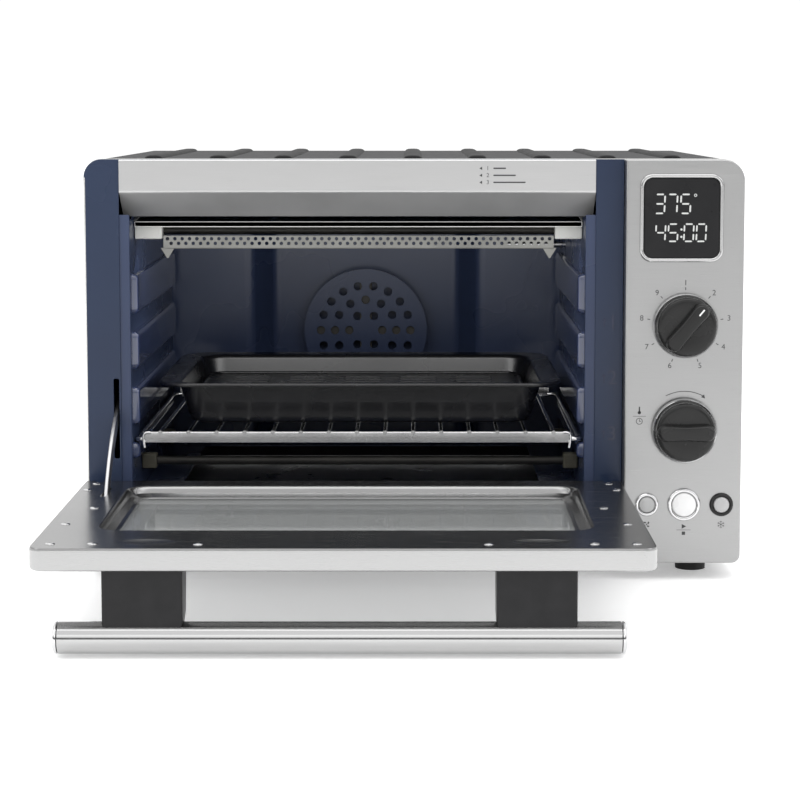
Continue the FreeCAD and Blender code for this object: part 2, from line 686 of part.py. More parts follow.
def make_door():
    """Outer shell, inner frame with its pressed window recess, two panes and the seal."""
    skin = 1.2
    near, far = F - D.recess_near, F - D.recess_far
    window_x = (D.door_centre - D.recess_half + D.recess_width,
                D.door_centre + D.recess_half - D.recess_width)
    window_y = (far + D.recess_width, near - D.recess_width)
    shell = common(door_blank(DOOR_OUT, DOOR_IN, 0), door_profile(0))
    inner_top = DOOR_IN - skin
    cavity = common(door_blank(DOOR_OUT + skin, DOOR_IN, skin), door_profile(skin))
    lid = box((DOOR_LEFT - 1, DOOR_RIGHT + 1), (DOOR_EDGE - 1, HINGE_Y + 20),
              (inner_top, DOOR_IN + 1))
    window = padded("z", (DOOR_OUT - 1, DOOR_OUT + 3), rectangle(window_x, window_y, 10))
    keep(cut(shell, cavity, lid, window, *hinge_notches()), "door_shell")

    plate = common(door_blank(inner_top, DOOR_IN, 0), door_profile(0))
    drop = D.recess_drop
    recess = lofted((DOOR_IN - drop, rectangle(window_x, window_y, 10)),
                    (DOOR_IN, rectangle((D.door_centre - D.recess_half,
                                         D.door_centre + D.recess_half), (far, near),
                                        D.window_corner)))
    under = lofted((DOOR_IN - drop, rectangle((window_x[0] - skin, window_x[1] + skin),
                                              (window_y[0] - skin, window_y[1] + skin), 11)),
                   (DOOR_IN - 0.1, rectangle((D.door_centre - D.recess_half - skin,
                                              D.door_centre + D.recess_half + skin),
                                             (far - skin, near + skin),
                                             D.window_corner + skin)))
    plate = cut(join(plate, under), recess)
    slot = padded("z", (inner_top - 8, DOOR_IN + 1),
                  rectangle((D.arm_x - 3.1, D.arm_x + 0.8),
                            (F + D.arm_pivot_y - 17, F + D.arm_pivot_y + 17), 1.4))
    places = screw_places()
    holes = [rod("z", 1.6, (inner_top - 1, DOOR_IN + 1), **centre) for centre in places]
    keep(cut(plate, slot, *holes, *hinge_notches()), "door_inner_frame")

    pane_x = (window_x[0] - 8, window_x[1] + 8)
    pane_y = (window_y[0] - 8, window_y[1] + 8)
    low = DOOR_OUT + skin + 0.02
    keep(padded("z", (low, low + 2.2), rectangle(pane_x, pane_y, 12)), "door_outer_glass")
    top = DOOR_IN - drop - 0.05
    keep(padded("z", (top - 1.8, top), rectangle(pane_x, pane_y, 12)), "door_inner_glass")
    keep(padded("z", (low + 2.25, top - 1.85), rectangle(pane_x, pane_y, 12),
                rectangle((window_x[0] - 1, window_x[1] + 1), (window_y[0] - 1, window_y[1] + 1),
                          8)), "window_seal")

    screws = []
    for centre in places:
        head = rod("z", 3.2, (DOOR_IN, DOOR_IN + 0.8), **centre)
        groove = box((centre["x"] - 2, centre["x"] + 2), (centre["y"] - 0.35, centre["y"] + 0.35),
                     (DOOR_IN + 0.4, DOOR_IN + 2))
        screws.append(cut(join(head, rod("z", 1.5, (DOOR_IN - 5, DOOR_IN), **centre)), groove))
    keep(group(*screws), "door_screws")


def make_hinges():
    """Fixed ears on the front frame, and the door's pins and blocks, with the arm's pin."""
    axis = {"y": HINGE_Y, "z": D.hinge_height}
    ears, pins = [], []
    for near in HINGE_EARS:
        ear = join(box((near, near + 4), (HINGE_Y, F), (D.hinge_height - 4, D.hinge_height + 4)),
                   rod("x", 4, (near, near + 4), **axis))
        ears.append(cut(ear, rod("x", D.pin_radius + 0.05, (near - 1, near + 5), **axis)))
        blocks = [box((low, low + 5), (HINGE_Y - 4.5, HINGE_Y + 4.5),
                      (DOOR_OUT + 1.25, D.hinge_height + 4)) for low in (near - 6.3, near + 5.3)]
        pins.append(join(rod("x", D.pin_radius, (near - 6.3, near + 10.3), **axis), *blocks))
    keep(group(*ears), "hinge_ears")
    pivot = {"y": F + D.arm_pivot_y, "z": D.arm_pivot_z}
    lug = box((D.arm_x + 0.5, D.arm_x + 6), (F + D.arm_pivot_y - 5, F + D.arm_pivot_y + 5),
              (DOOR_OUT + 1.25, DOOR_IN - 1.25))
    pins.append(join(rod("x", D.pin_radius, (D.arm_x - 4, D.arm_x + 4), **pivot), lug))
    keep(group(*pins), "hinge_pins")


def make_arm():
    """The curved strap between the door and the spring inside the case."""
    start = math.radians(DIMENSIONS["arm_start"])
    end = start - math.radians(DIMENSIONS["arm_sweep"])
    radius, half = DIMENSIONS["arm_radius"], DIMENSIONS["arm_width"] / 2
    pivot = V(0, (F + D.arm_pivot_y).value, DIMENSIONS["arm_pivot_z"])
    centre = pivot - V(0, math.cos(start), math.sin(start)) * radius

    def spot(distance, angle):
        return centre + V(0, math.cos(angle), math.sin(angle)) * distance

    def cap(angle, turn):
        ends = [spot(radius + half, angle), spot(radius - half, angle)]
        middle = spot(radius, angle) + V(0, -math.sin(angle), math.cos(angle)) * turn * half
        return [ends[0], middle, ends[1]]

    near, far, between = cap(start, 1), cap(end, -1), (start + end) / 2
    wire = Part.Wire([
        Part.Arc(*near).toShape(),
        Part.Arc(near[2], spot(radius - half, between), far[2]).toShape(),
        Part.Arc(far[2], far[1], far[0]).toShape(),
        Part.Arc(far[0], spot(radius + half, between), near[0]).toShape()])
    strap = doc.addObject("Part::Feature", "strap")
    strap.Shape = Part.Face(wire).extrude(V(DIMENSIONS["arm_skin"], 0, 0))
    strap.Placement.Base = V(DIMENSIONS["arm_x"] - DIMENSIONS["arm_skin"], 0, 0)
    tail = spot(radius, end)
    holes = [rod("x", D.pin_radius + 0.05, (D.arm_x - 4, D.arm_x + 1), y=point.y, z=point.z)
             for point in (pivot, tail)]
    keep(cut(strap, *holes), "door_arm")
    make_spring(tail)


def make_spring(tail):
    """The spring that draws the arm back, hooked to a post on the cavity's left wall."""
    coil_x, coil = D.arm_x + 4.2, (size(tail.y + 12), CAVITY_BACK - 60)
    sleeve = cut(rod("y", 2.6, coil, x=coil_x, z=tail.z),
                 rod("y", 1.7, (coil[0] + 1, coil[1] - 1), x=coil_x, z=tail.z))
    wire = rod("y", 0.8, (tail.y, coil[0] + 1.5), x=coil_x, z=tail.z)
    hook = rod("x", 0.8, (D.arm_x - 3.4, coil_x), y=tail.y, z=tail.z)
    anchor = rod("y", 0.8, (coil[1] - 1.5, CAVITY_BACK - 52), x=coil_x, z=tail.z)
    keep(join(sleeve, wire, hook, anchor), "arm_spring")
    wall = next(piece for piece in parts if piece.Label == "cavity_left_wall")
    add_pad(wall, "x", (D.arm_x + 1, WALL_LEFT - SKIN / 2),
            rectangle((CAVITY_BACK - 52, CAVITY_BACK - 46), (tail.z - 5, tail.z + 5)))


def make_handle():
    """The round bar with its domed end caps on two black brackets."""
    axis = {"y": F - D.bar_forward, "z": D.bar_height}
    left, right = D.bar_centre - D.bar_half, D.bar_centre + D.bar_half
    keep(rod("x", D.bar_radius, (left + D.cap_length, right - D.cap_length), **axis),
         "handle_bar")
    caps = []
    for edge, turn in ((left, 1), (right, -1)):
        ends = sorted((edge, edge + turn * (D.cap_length - 0.4)), key=lambda end: end.value)
        blank = rod("x", D.bar_radius, ends, **axis)
        spigot_ends = sorted((edge + turn * 2, edge + turn * D.cap_length),
                             key=lambda end: end.value)
        blank = join(blank, rod("x", D.bar_radius - 1.5, spigot_ends, **axis))
        dome = doc.addObject("Part::Fillet", "dome")
        dome.Base = blank
        doc.recompute()
        rims = [number for number, rim in enumerate(blank.Shape.Edges, 1)
                if abs(rim.BoundBox.XLength) < 1e-3 and rim.Closed
                and abs(rim.CenterOfMass.x - edge.value) < 1e-3]
        dome.Edges = [(number, D.cap_round.value, D.cap_round.value) for number in rims]
        caps.append(dome)
    keep(group(*caps), "handle_end_caps")

    brackets = []
    for side in (-1, 1):
        middle = D.bar_centre + side * D.bracket_offset
        span = (middle - D.bracket_half, middle + D.bracket_half)
        back = F - D.bar_forward + D.bracket_back
        block = padded("x", span, polygon(
            (back, DOOR_OUT), (F - D.bar_forward - 6, DOOR_OUT),
            (F - D.bar_forward - 6, D.bar_height + 4), (F - D.bar_forward + 6, D.bar_height + 2),
            (back - 4, D.bar_height + 14)))
        brackets.append(cut(block, rod("x", D.bar_radius + 0.02,
                                       (middle - 40, middle + 40), **axis)))
    keep(group(*brackets), "handle_brackets")


# ---------------------------------------------------------------- rack, pan and tray

def make_rack():
    """The chrome wire rack with its flat front and rear rails."""
    front_y, back_y = F + D.rack_front_y, F + D.rack_front_y + D.rack_depth
    middle = (D.rack_left + D.rack_right) / 2
    pieces = [box((D.rack_left, D.rack_right), (y, y + 2.4),
                  (D.rack_height - 4, D.rack_height + 4)) for y in (front_y, back_y - 2.4)]
    for step in range(-7, 8):
        pieces.append(rod("y", D.wire_radius, (front_y - 1, back_y + 1),
                          x=middle + D.rack_pitch * step, z=D.rack_height + 3.4))
    low = RACK_LEVELS[0] - 8 + D.side_wire + 0.4
    for rail, side in ((WALL_LEFT + 2.6, -1), (WALL_RIGHT - 2.6, 1)):
        pieces.append(rod("y", D.side_wire, (front_y, back_y), x=rail, z=low))
        end = D.rack_left if side < 0 else D.rack_right
        span = (rail, end + 2) if side < 0 else (end - 2, rail)
        for y in (front_y + 2, back_y - 2):
            pieces.append(rod("x", D.side_wire, span, y=y, z=low))
    keep(join(*pieces), "wire_rack")


def make_pan():
    """The enamelled roasting pan with its rolled rim, and the slotted insert on its ledge."""
    left, right = D.pan_left, D.pan_right
    near, far = F + D.pan_front_y, F + D.pan_front_y + D.pan_depth
    lip, skin = D.pan_lip, D.pan_skin
    floor, rim = D.pan_floor, D.pan_rim

    def plan(inset, corner):
        return rectangle((left + inset, right - inset), (near + inset * 0.8, far - inset * 0.8),
                         corner)

    bowl = lofted((floor, plan(lip + 11, 14)), (rim - 1.6, plan(lip, 20)))
    add_pad(bowl, "z", (rim - 1.6, rim), plan(0, 26))
    loft_into(bowl, "PartDesign::SubtractiveLoft",
              ((floor + skin, plan(lip + 11.6, 13)), (rim + 0.1, plan(lip + 1.3, 19))))
    keep(bowl, "roasting_pan")

    ledge = floor + 16
    plate = padded("z", (ledge, ledge + 1.2), plan(lip + 8.5, 14))
    for column in range(5):
        low = left + lip + 30 + column * 44
        slot = pocket(plate, "z", (ledge - 1, ledge + 3),
                      rectangle((low, low + 30), (near + 40, near + 45), 2.4))
        row_of(plate, slot, 9, 14, "V_Axis")
    for x in (left + lip + 24, right - lip - 28):
        for y in (near + 24, far - 28):
            add_pad(plate, "z", (floor + skin + 0.3, ledge + 0.4), rectangle((x, x + 4),
                                                                          (y, y + 4)))
    keep(plate, "grill_insert")


def make_tray():
    """The crumb tray that draws out under the door, and its front pull."""
    low, high = D.tray_bottom, D.tray_top
    span, depth = (D.tray_left, D.tray_right), (F + SKIN, F + D.tray_depth)
    tray = padded("z", (low, high), rectangle(span, depth))
    pocket(tray, "z", (low + 1, high + 1),
           rectangle((D.tray_left + 1, D.tray_right - 1), (F + SKIN + 1, F + D.tray_depth - 1)))
    keep(tray, "crumb_tray")
    front = padded("x", (D.tray_left, D.tray_right), polygon(
        (F - 3.5, 24), (F - 2.3, 24), (F - 2.3, high - 1.2), (F + SKIN, high - 1.2),
        (F + SKIN, high), (F - 3.5, high)))
    grip = padded("x", (D.cavity_middle - 45, D.cavity_middle + 45), polygon(
        (F - 3.5, 26), (F - 3.5, 30), (F - 12, 28), (F - 12, 26)))
    keep(join(front, grip), "crumb_tray_front")
    rails = []
    for edge, turn in ((D.tray_left - 1, -1), (D.tray_right + 1, 1)):
        ends = sorted((edge, edge + turn * 1.2), key=lambda end: end.value)
        shelf = sorted((edge - turn * 6, edge), key=lambda end: end.value)
        rails.append(join(
            box(ends, (F + 10, F + D.tray_depth + 4), (D.case_bottom + SKIN, high + 2)),
            box(shelf, (F + 10, F + D.tray_depth + 4), (low - 2, low - 0.4))))
    keep(group(*rails), "tray_rails")


# ---------------------------------------------------------------- feet, gland and fasteners

def make_underside():
    """Four rubber feet with their screws, and the mains cord's gland in the rear cover."""
    feet, heads = [], []
    for x in (-D.foot_inset_x, D.foot_inset_x):
        for y in (F + D.foot_front_y, F + D.foot_back_y):
            foot = cut(rod("z", D.foot_radius, (0, D.case_bottom), x=x, y=y),
                       rod("z", 4.6, (-1, 5), x=x, y=y),
                       rod("z", 2.05, (4, D.case_bottom + 1), x=x, y=y))
            feet.append(foot)
            heads.append(join(rod("z", 4, (2.4, 5), x=x, y=y),
                              rod("z", 2, (4, D.case_bottom), x=x, y=y)))
    keep(group(*feet), "feet")
    gland_at = {"x": D.gland_x, "z": D.gland_z}
    skin_y = CASE_BACK + D.gap
    outer = join(rod("y", 9, (skin_y + SKIN, skin_y + SKIN + 3), **gland_at),
                 rod("y", 6.4, (skin_y - 8, skin_y + SKIN + 9), **gland_at))
    keep(cut(outer, rod("y", D.gland_bore, (skin_y - 10, skin_y + SKIN + 12), **gland_at)),
         "cord_gland")
    back = next(piece for piece in parts if piece.Label == "rear_cover")
    pocket(back, "y", (skin_y - 1, skin_y + 3), circle(D.gland_x, D.gland_z, 6.45))

    for x in (-D.case_half + 14, D.case_half - 14):
        for z in (D.case_bottom + 24, 150, D.case_top - 24):
            heads.append(rod("y", 3.6, (skin_y + SKIN, skin_y + SKIN + 2), x=x, z=z))
    keep(group(*heads), "case_screws")


def export():
    """Check every object, then write each piece."""
    doc.recompute()
    for obj in doc.Objects:
        if {"Invalid", "Error"} & set(obj.State):
            raise RuntimeError(f"{obj.Name} ({obj.Label}) failed: {obj.State}")
    labels = [piece.Label for piece in parts]
    if len(set(labels)) != len(labels) or len(labels) > 60:
        raise RuntimeError(f"{len(labels)} pieces, or two share a name")
    for piece in parts:
        if piece.Shape.isNull() or not piece.Shape.isValid() or not piece.Shape.Solids:
            raise RuntimeError(f"{piece.Label} has no valid solid")
    os.makedirs("parts", exist_ok=True)
    for piece in parts:
        piece.Shape.exportStep(f"parts/{piece.Label}.step")
    print(f"{len(parts)} pieces written")


fill_sheet()
for build in (make_case, make_front_frame, make_cavity, make_fan, make_heaters, make_panel,
              make_display, make_encoders, make_knobs, make_buttons, make_door, make_hinges,
              make_arm, make_handle, make_rack, make_pan, make_tray, make_underside):
    build()
export()
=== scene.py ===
import math

import bmesh
import bpy
from mathutils import Matrix, Vector


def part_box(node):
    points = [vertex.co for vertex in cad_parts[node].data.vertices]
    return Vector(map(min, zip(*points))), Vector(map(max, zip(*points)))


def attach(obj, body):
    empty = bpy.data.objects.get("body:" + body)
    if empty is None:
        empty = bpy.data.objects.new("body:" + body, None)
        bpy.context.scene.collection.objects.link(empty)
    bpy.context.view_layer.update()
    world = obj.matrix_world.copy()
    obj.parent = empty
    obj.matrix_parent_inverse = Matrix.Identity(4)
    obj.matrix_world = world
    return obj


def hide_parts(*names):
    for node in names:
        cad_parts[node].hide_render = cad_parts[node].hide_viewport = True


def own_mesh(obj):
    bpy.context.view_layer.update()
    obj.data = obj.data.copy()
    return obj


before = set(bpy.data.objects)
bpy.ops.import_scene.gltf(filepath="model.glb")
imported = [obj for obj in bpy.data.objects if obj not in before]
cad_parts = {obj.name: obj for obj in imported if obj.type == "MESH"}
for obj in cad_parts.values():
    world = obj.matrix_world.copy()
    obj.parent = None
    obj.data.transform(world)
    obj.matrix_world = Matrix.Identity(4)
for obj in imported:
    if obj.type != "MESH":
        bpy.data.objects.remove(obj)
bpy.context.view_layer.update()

# Toaster oven.  Metres, +Z up, the oven's front towards -Y.  Places come from the frame's nodes,
# and what the frame doesn't give, such as a fold or a level, is named here or where it is used.
MM = 0.001


def edges_of(node, axis):
    """The lowest and highest value of a node along an axis."""
    low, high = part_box(node)
    return low["xyz".index(axis)], high["xyz".index(axis)]


FRONT = edges_of("front_frame", "y")[0]
MOUTH_LEFT, MOUTH_RIGHT = edges_of("top_visor", "x")
MOUTH_LOW, MOUTH_HIGH = 0.056, 0.278
ARM_SLOT = (0.086, 0.144)
WALL_LEFT = edges_of("cavity_left_wall", "x")[1]
WALL_RIGHT = edges_of("cavity_right_wall", "x")[0]
RACK_LEVELS = {"3": 0.104, "2": 0.1445, "1": 0.1847}
SKIN = 1.2 * MM


# ------------------------------------------------------------------ materials

def new_material(name):
    """A node material and its shader."""
    material = bpy.data.materials.new(name)
    material.use_nodes = True
    return material, material.node_tree.nodes["Principled BSDF"]


def add_node(material, kind, **settings):
    """A shader node with its settings; a socket is named with its title."""
    node = material.node_tree.nodes.new(kind)
    for name, value in settings.items():
        if name in node.bl_rna.properties:
            setattr(node, name, value)
        else:
            node.inputs[name.replace("_", " ").title()].default_value = value
    return node


def link(material, start, end):
    """Join an output of one shader node to an input of another."""
    material.node_tree.links.new(start, end)


def grain(material, stretch, scale, detail=4.0, roughness=0.6):
    """Noise over the piece's own coordinates, stretched along the axes; gives a 0 to 1 value."""
    place = add_node(material, "ShaderNodeTexCoord")
    mapping = add_node(material, "ShaderNodeMapping")
    mapping.inputs["Scale"].default_value = stretch
    noise = add_node(material, "ShaderNodeTexNoise", scale=scale, detail=detail,
                     roughness=roughness)
    link(material, place.outputs["Object"], mapping.inputs["Vector"])
    link(material, mapping.outputs["Vector"], noise.inputs["Vector"])
    return noise.outputs["Fac"]


def between(material, value, low, high, start=0.3, end=0.7):
    """Spread a 0 to 1 value between two numbers."""
    spread = add_node(material, "ShaderNodeMapRange")
    for title, number in (("From Min", start), ("From Max", end), ("To Min", low),
                          ("To Max", high)):
        spread.inputs[title].default_value = number
    link(material, value, spread.inputs["Value"])
    return spread.outputs["Result"]


def tint(material, value, dark, light):
    """A colour between two, by a 0 to 1 value; a single number stands for a grey."""
    ramp = add_node(material, "ShaderNodeValToRGB")
    for element, place, tone in zip(ramp.color_ramp.elements, (0.3, 0.7), (dark, light)):
        element.position = place
        element.color = (*tone, 1) if isinstance(tone, tuple) else (tone, tone, tone, 1)
    link(material, value, ramp.inputs["Fac"])
    return ramp.outputs["Color"]


def bump(material, shader, value, strength, distance):
    """Raise the surface by a value."""
    node = add_node(material, "ShaderNodeBump", strength=strength, distance=distance)
    link(material, value, node.inputs["Height"])
    link(material, node.outputs["Normal"], shader.inputs["Normal"])
    return node


BRUSH = {"x": (0.008, 1, 1), "y": (1, 0.008, 1), "z": (1, 1, 0.008)}


def brushed(name, dark, light, rough, axis="x", depth=0.000006, fine=3400):
    """Metal with a fine grain along one axis and slow changes of tone."""
    material, shader = new_material(name)
    shader.inputs["Metallic"].default_value = 1.0
    lines = grain(material, BRUSH[axis], fine, 5.0, 0.7)
    slow = grain(material, (0.3, 1, 1), 9, 2.0, 0.4)
    mixed = add_node(material, "ShaderNodeMath", operation="ADD")
    half = add_node(material, "ShaderNodeMath", operation="MULTIPLY")
    half.inputs[1].default_value = 0.5
    link(material, lines, mixed.inputs[0])
    link(material, slow, mixed.inputs[1])
    link(material, mixed.outputs[0], half.inputs[0])
    link(material, tint(material, half.outputs[0], dark, light), shader.inputs["Base Color"])
    link(material, between(material, lines, rough * 0.8, rough * 1.3),
         shader.inputs["Roughness"])
    bump(material, shader, lines, 0.25, depth)
    return material


def coated(name, dark, light, rough, spread=0.05, coat=0.0, size=900, depth=0.00003,
           strength=0.2, metallic=0.0, shine=0.5):
    """Paint, enamel, plastic or ceramic: tone, gloss and a slight texture."""
    material, shader = new_material(name)
    shader.inputs["Metallic"].default_value = metallic
    shader.inputs["Coat Weight"].default_value = coat
    shader.inputs["Specular IOR Level"].default_value = shine
    shader.inputs["Coat Roughness"].default_value = 0.05
    cloud = grain(material, (1, 1, 1), size / 30, 3.0)
    fine = grain(material, (1, 1, 1), size, 3.0)
    link(material, tint(material, cloud, dark, light), shader.inputs["Base Color"])
    link(material, between(material, cloud, rough - spread, rough + spread),
         shader.inputs["Roughness"])
    bump(material, shader, fine, strength, depth)
    return material


def glass(name, tone, alpha, rough=0.03):
    """Clear glass that shows what is behind it."""
    material, shader = new_material(name)
    shader.inputs["Base Color"].default_value = (*tone, 1)
    shader.inputs["Alpha"].default_value = alpha
    shader.inputs["IOR"].default_value = 1.5
    smear = grain(material, (1, 1, 1), 18, 3.0)
    link(material, between(material, smear, rough * 0.6, rough * 2.2),
         shader.inputs["Roughness"])
    return material


def glowing(name, colour, strength):
    """Lit display segments."""
    material, shader = new_material(name)
    shader.inputs["Base Color"].default_value = (*colour, 1)
    shader.inputs["Emission Color"].default_value = (*colour, 1)
    shader.inputs["Emission Strength"].default_value = strength
    shader.inputs["Roughness"].default_value = 0.5
    return material


PANEL_STEEL = brushed("panel_steel", 0.33, 0.40, 0.32)
VISOR_STEEL = brushed("visor_steel", 0.46, 0.53, 0.34)
# The slope is the visor's own sheet folded under; its darker copy of the steel is painted shade on
# the underside.
SLOPE_SHADE_STEEL = coated("visor_slope", 0.36, 0.42, 0.48, 0.05, size=500, metallic=0.45)
BEZEL_STEEL = brushed("bezel_steel", 0.40, 0.47, 0.16)
EDGE_STEEL = brushed("edge_steel", (0.58, 0.58, 0.57), (0.74, 0.74, 0.73), 0.24)
DOOR_STEEL = brushed("door_inner_steel", 0.25, 0.31, 0.22)
DOOR_EDGE = brushed("door_edge_steel", 0.37, 0.44, 0.24)
BAR_STEEL = brushed("bar_steel", 0.44, 0.50, 0.12, depth=0.000002)
CHROME = coated("chrome", (0.60, 0.60, 0.61), 0.68, 0.09, 0.03, size=500, depth=0.00001,
                metallic=1.0)
ZINC = coated("zinc_steel", (0.38, 0.38, 0.39), 0.52, 0.32, 0.08, size=700, metallic=1.0)
REFLECTOR = brushed("reflector_steel", (0.62, 0.62, 0.61), (0.80, 0.80, 0.78), 0.28)
GUARD_STEEL = coated("guard_steel", (0.20, 0.20, 0.19), (0.29, 0.29, 0.275), 0.34, 0.08,
                     metallic=1.0)
COVER_COAT = coated("cover_coat", (0.048, 0.048, 0.050), (0.053, 0.053, 0.055), 0.55, 0.05,
                    size=2600, depth=0.00006, strength=0.35, shine=0.03)
# The pressed ribs wear a darker copy of the cover's paint: painted shade for their shaded sides and
# dark reflections.
RIB_SHADE_COAT = coated("rib_shade_coat", (0.016, 0.016, 0.017), (0.022, 0.022, 0.023), 0.50, 0.05,
                  size=2600, depth=0.00004, shine=0.03)
ENAMEL = coated("blue_enamel", (0.017, 0.027, 0.058), (0.022, 0.035, 0.072), 0.24, 0.05,
                size=260, depth=0.00004, shine=0.28)
CAVITY_ENAMEL = coated("cavity_enamel", (0.028, 0.040, 0.084), (0.037, 0.053, 0.107), 0.28,
                       0.05, size=260, depth=0.00004, shine=0.35)
# The pads are pressed in the same enamelled walls: their lighter blue is painted light, while their
# clear coat is real gloss.
PAD_LIT_ENAMEL = coated("pad_lit_enamel", (0.034, 0.047, 0.110), (0.043, 0.060, 0.138), 0.16, 0.04,
                    coat=1.0, size=260, depth=0.00003)
MARK_ENAMEL = coated("mark_enamel", (0.010, 0.016, 0.045), (0.014, 0.020, 0.055), 0.25, 0.04)
BLACK_ENAMEL = coated("black_enamel", (0.006, 0.006, 0.007), (0.010, 0.010, 0.012), 0.26, 0.06,
                      coat=0.15, size=300, depth=0.00006)
ELEMENT = coated("element_sheath", (0.030, 0.029, 0.027), (0.060, 0.057, 0.052), 0.48, 0.08,
                 size=800, metallic=0.6)
CERAMIC = coated("white_ceramic", (0.62, 0.62, 0.59), (0.72, 0.72, 0.69), 0.40, 0.06)
# The lower bushes are ceramic like the element ends; their much darker tone is painted shade down
# in the cavity.
SHADED_BUSH = coated("shaded_bush_ceramic", (0.075, 0.070, 0.050), (0.115, 0.108, 0.080), 0.55, 0.08)
BLACK_PLASTIC = coated("black_plastic", 0.010, 0.016, 0.26, 0.05, size=1200, depth=0.00002,
                       shine=0.3)
BRACKET_BLACK = coated("bracket_black", (0.013, 0.013, 0.014), (0.020, 0.020, 0.021), 0.34,
                       0.05, size=1600, depth=0.00004, shine=0.2)
BUTTON_GREY = coated("button_grey", 0.36, 0.44, 0.35, 0.05)
BUTTON_WHITE = coated("button_white", 0.72, 0.80, 0.30, 0.05)
RUBBER = coated("rubber", 0.012, 0.020, 0.70, 0.08)
BOARD = coated("board_green", (0.01, 0.07, 0.03), (0.015, 0.10, 0.045), 0.45, 0.06)
INK = coated("panel_ink", (0.028, 0.028, 0.030), (0.040, 0.040, 0.042), 0.5, 0.05)
WHITE_INK = coated("white_ink", 0.78, 0.85, 0.45, 0.05)
LCD = coated("display_dark", (0.010, 0.010, 0.011), (0.014, 0.014, 0.015), 0.30, 0.05, shine=0.2)
SEGMENT = glowing("display_segment", (0.50, 0.51, 0.50), 0.12)
OVEN_GLASS = glass("oven_glass", (0.30, 0.31, 0.31), 0.42)


# ------------------------------------------------------------------ mesh building

def place_mesh(name, mesh, material, body, replaces=(), sharp=32):
    """Make an object of a mesh, or of a list of them, with its finish; it rides on its body."""
    if isinstance(mesh, list):
        mesh = merged(*mesh)
    piece = bpy.data.objects.new(name, mesh)
    bpy.context.scene.collection.objects.link(piece)
    mesh.materials.clear()
    mesh.materials.append(material)
    mesh.shade_smooth()
    mesh.set_sharp_from_angle(angle=math.radians(sharp))
    weighted = piece.modifiers.new("weighted", "WEIGHTED_NORMAL")
    weighted.keep_sharp = True
    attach(piece, body)
    if replaces:
        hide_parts(*replaces)
    return piece


def mesh_of(bm):
    """A mesh from a bmesh, its normals pointing out."""
    bmesh.ops.recalc_face_normals(bm, faces=bm.faces)
    mesh = bpy.data.meshes.new("piece")
    bm.to_mesh(mesh)
    bm.free()
    return mesh


def mesh_from(curve):
    """A mesh of a curve or of text."""
    holder = bpy.data.objects.new("holder", curve)
    mesh = bpy.data.meshes.new_from_object(holder)
    bpy.data.objects.remove(holder)
    return mesh


def arc(centre, radius, start, end, steps):
    """Points on an arc, angles in degrees."""
    angles = [math.radians(start + (end - start) * k / steps) for k in range(steps + 1)]
    return [(centre[0] + radius * math.cos(a), centre[1] + radius * math.sin(a))
            for a in angles]


def round_rect(u_span, v_span, corner, steps=8):
    """A rectangle with rounded corners, anticlockwise; corner is one radius, or one each."""
    (u0, u1), (v0, v1) = u_span, v_span
    radii = corner if isinstance(corner, (list, tuple)) else [corner] * 4
    points = []
    for (u, v), (du, dv), radius, start in zip(
            ((u0, v0), (u1, v0), (u1, v1), (u0, v1)), ((1, 1), (-1, 1), (-1, -1), (1, -1)),
            radii, (180, 270, 0, 90)):
        if radius <= 0:
            points.append((u, v))
        else:
            points += arc((u + du * radius, v + dv * radius), radius, start, start + 90, steps)
    return points


def shrunk(u_span, v_span, inset, corner, steps=8):
    """A rounded rectangle, inset all round."""
    (u0, u1), (v0, v1) = u_span, v_span
    return round_rect((u0 + inset, u1 - inset), (v0 + inset, v1 - inset), corner, steps)


def ring(u, v, radius, steps=48):
    """A circle of points, anticlockwise."""
    return arc((u, v), radius, 0, 360, steps)[:-1]


LIFT = {"x": lambda u, v, w: (w, u, v), "y": lambda u, v, w: (u, -w, v),
        "z": lambda u, v, w: (u, v, w)}


def plate(outline, axis, span, holes=(), bevel=0.0004, segments=2):
    """Mesh of a flat plate square to an axis, with holes and rounded edges."""
    curve = bpy.data.curves.new("plate", "CURVE")
    curve.dimensions = "2D"
    curve.fill_mode = "BOTH"
    for points in [outline] + [list(reversed(hole)) for hole in holes]:
        spline = curve.splines.new("POLY")
        spline.points.add(len(points) - 1)
        for spot, (u, v) in zip(spline.points, points):
            spot.co = (u, v, 0, 1)
        spline.use_cyclic_u = True
    bevel = min(bevel, (span[1] - span[0]) / 2.05)
    curve.extrude = (span[1] - span[0]) / 2 - bevel
    curve.bevel_depth = bevel
    curve.bevel_resolution = segments - 1
    curve.offset = -bevel
    mesh = mesh_from(curve)
    middle = (span[0] + span[1]) / 2
    if axis == "y":
        middle = -middle
    for vertex in mesh.vertices:
        u, v, w = vertex.co
        vertex.co = LIFT[axis](u, v, w + middle)
    bm = bmesh.new()
    bm.from_mesh(mesh)
    bmesh.ops.remove_doubles(bm, verts=bm.verts, dist=1e-6)
    return mesh_of(bm)


def block(low, high, bevel=0.0005, segments=3):
    """Mesh of a block with rounded edges."""
    bm = bmesh.new()
    size, middle = Vector(high) - Vector(low), (Vector(high) + Vector(low)) / 2
    bmesh.ops.create_cube(bm, size=1.0, matrix=Matrix.Translation(middle) @ Matrix.Diagonal(
        (*size, 1)))
    bmesh.ops.bevel(bm, geom=list(bm.edges), offset=bevel, segments=segments, profile=0.5,
                    affect="EDGES")
    return mesh_of(bm)


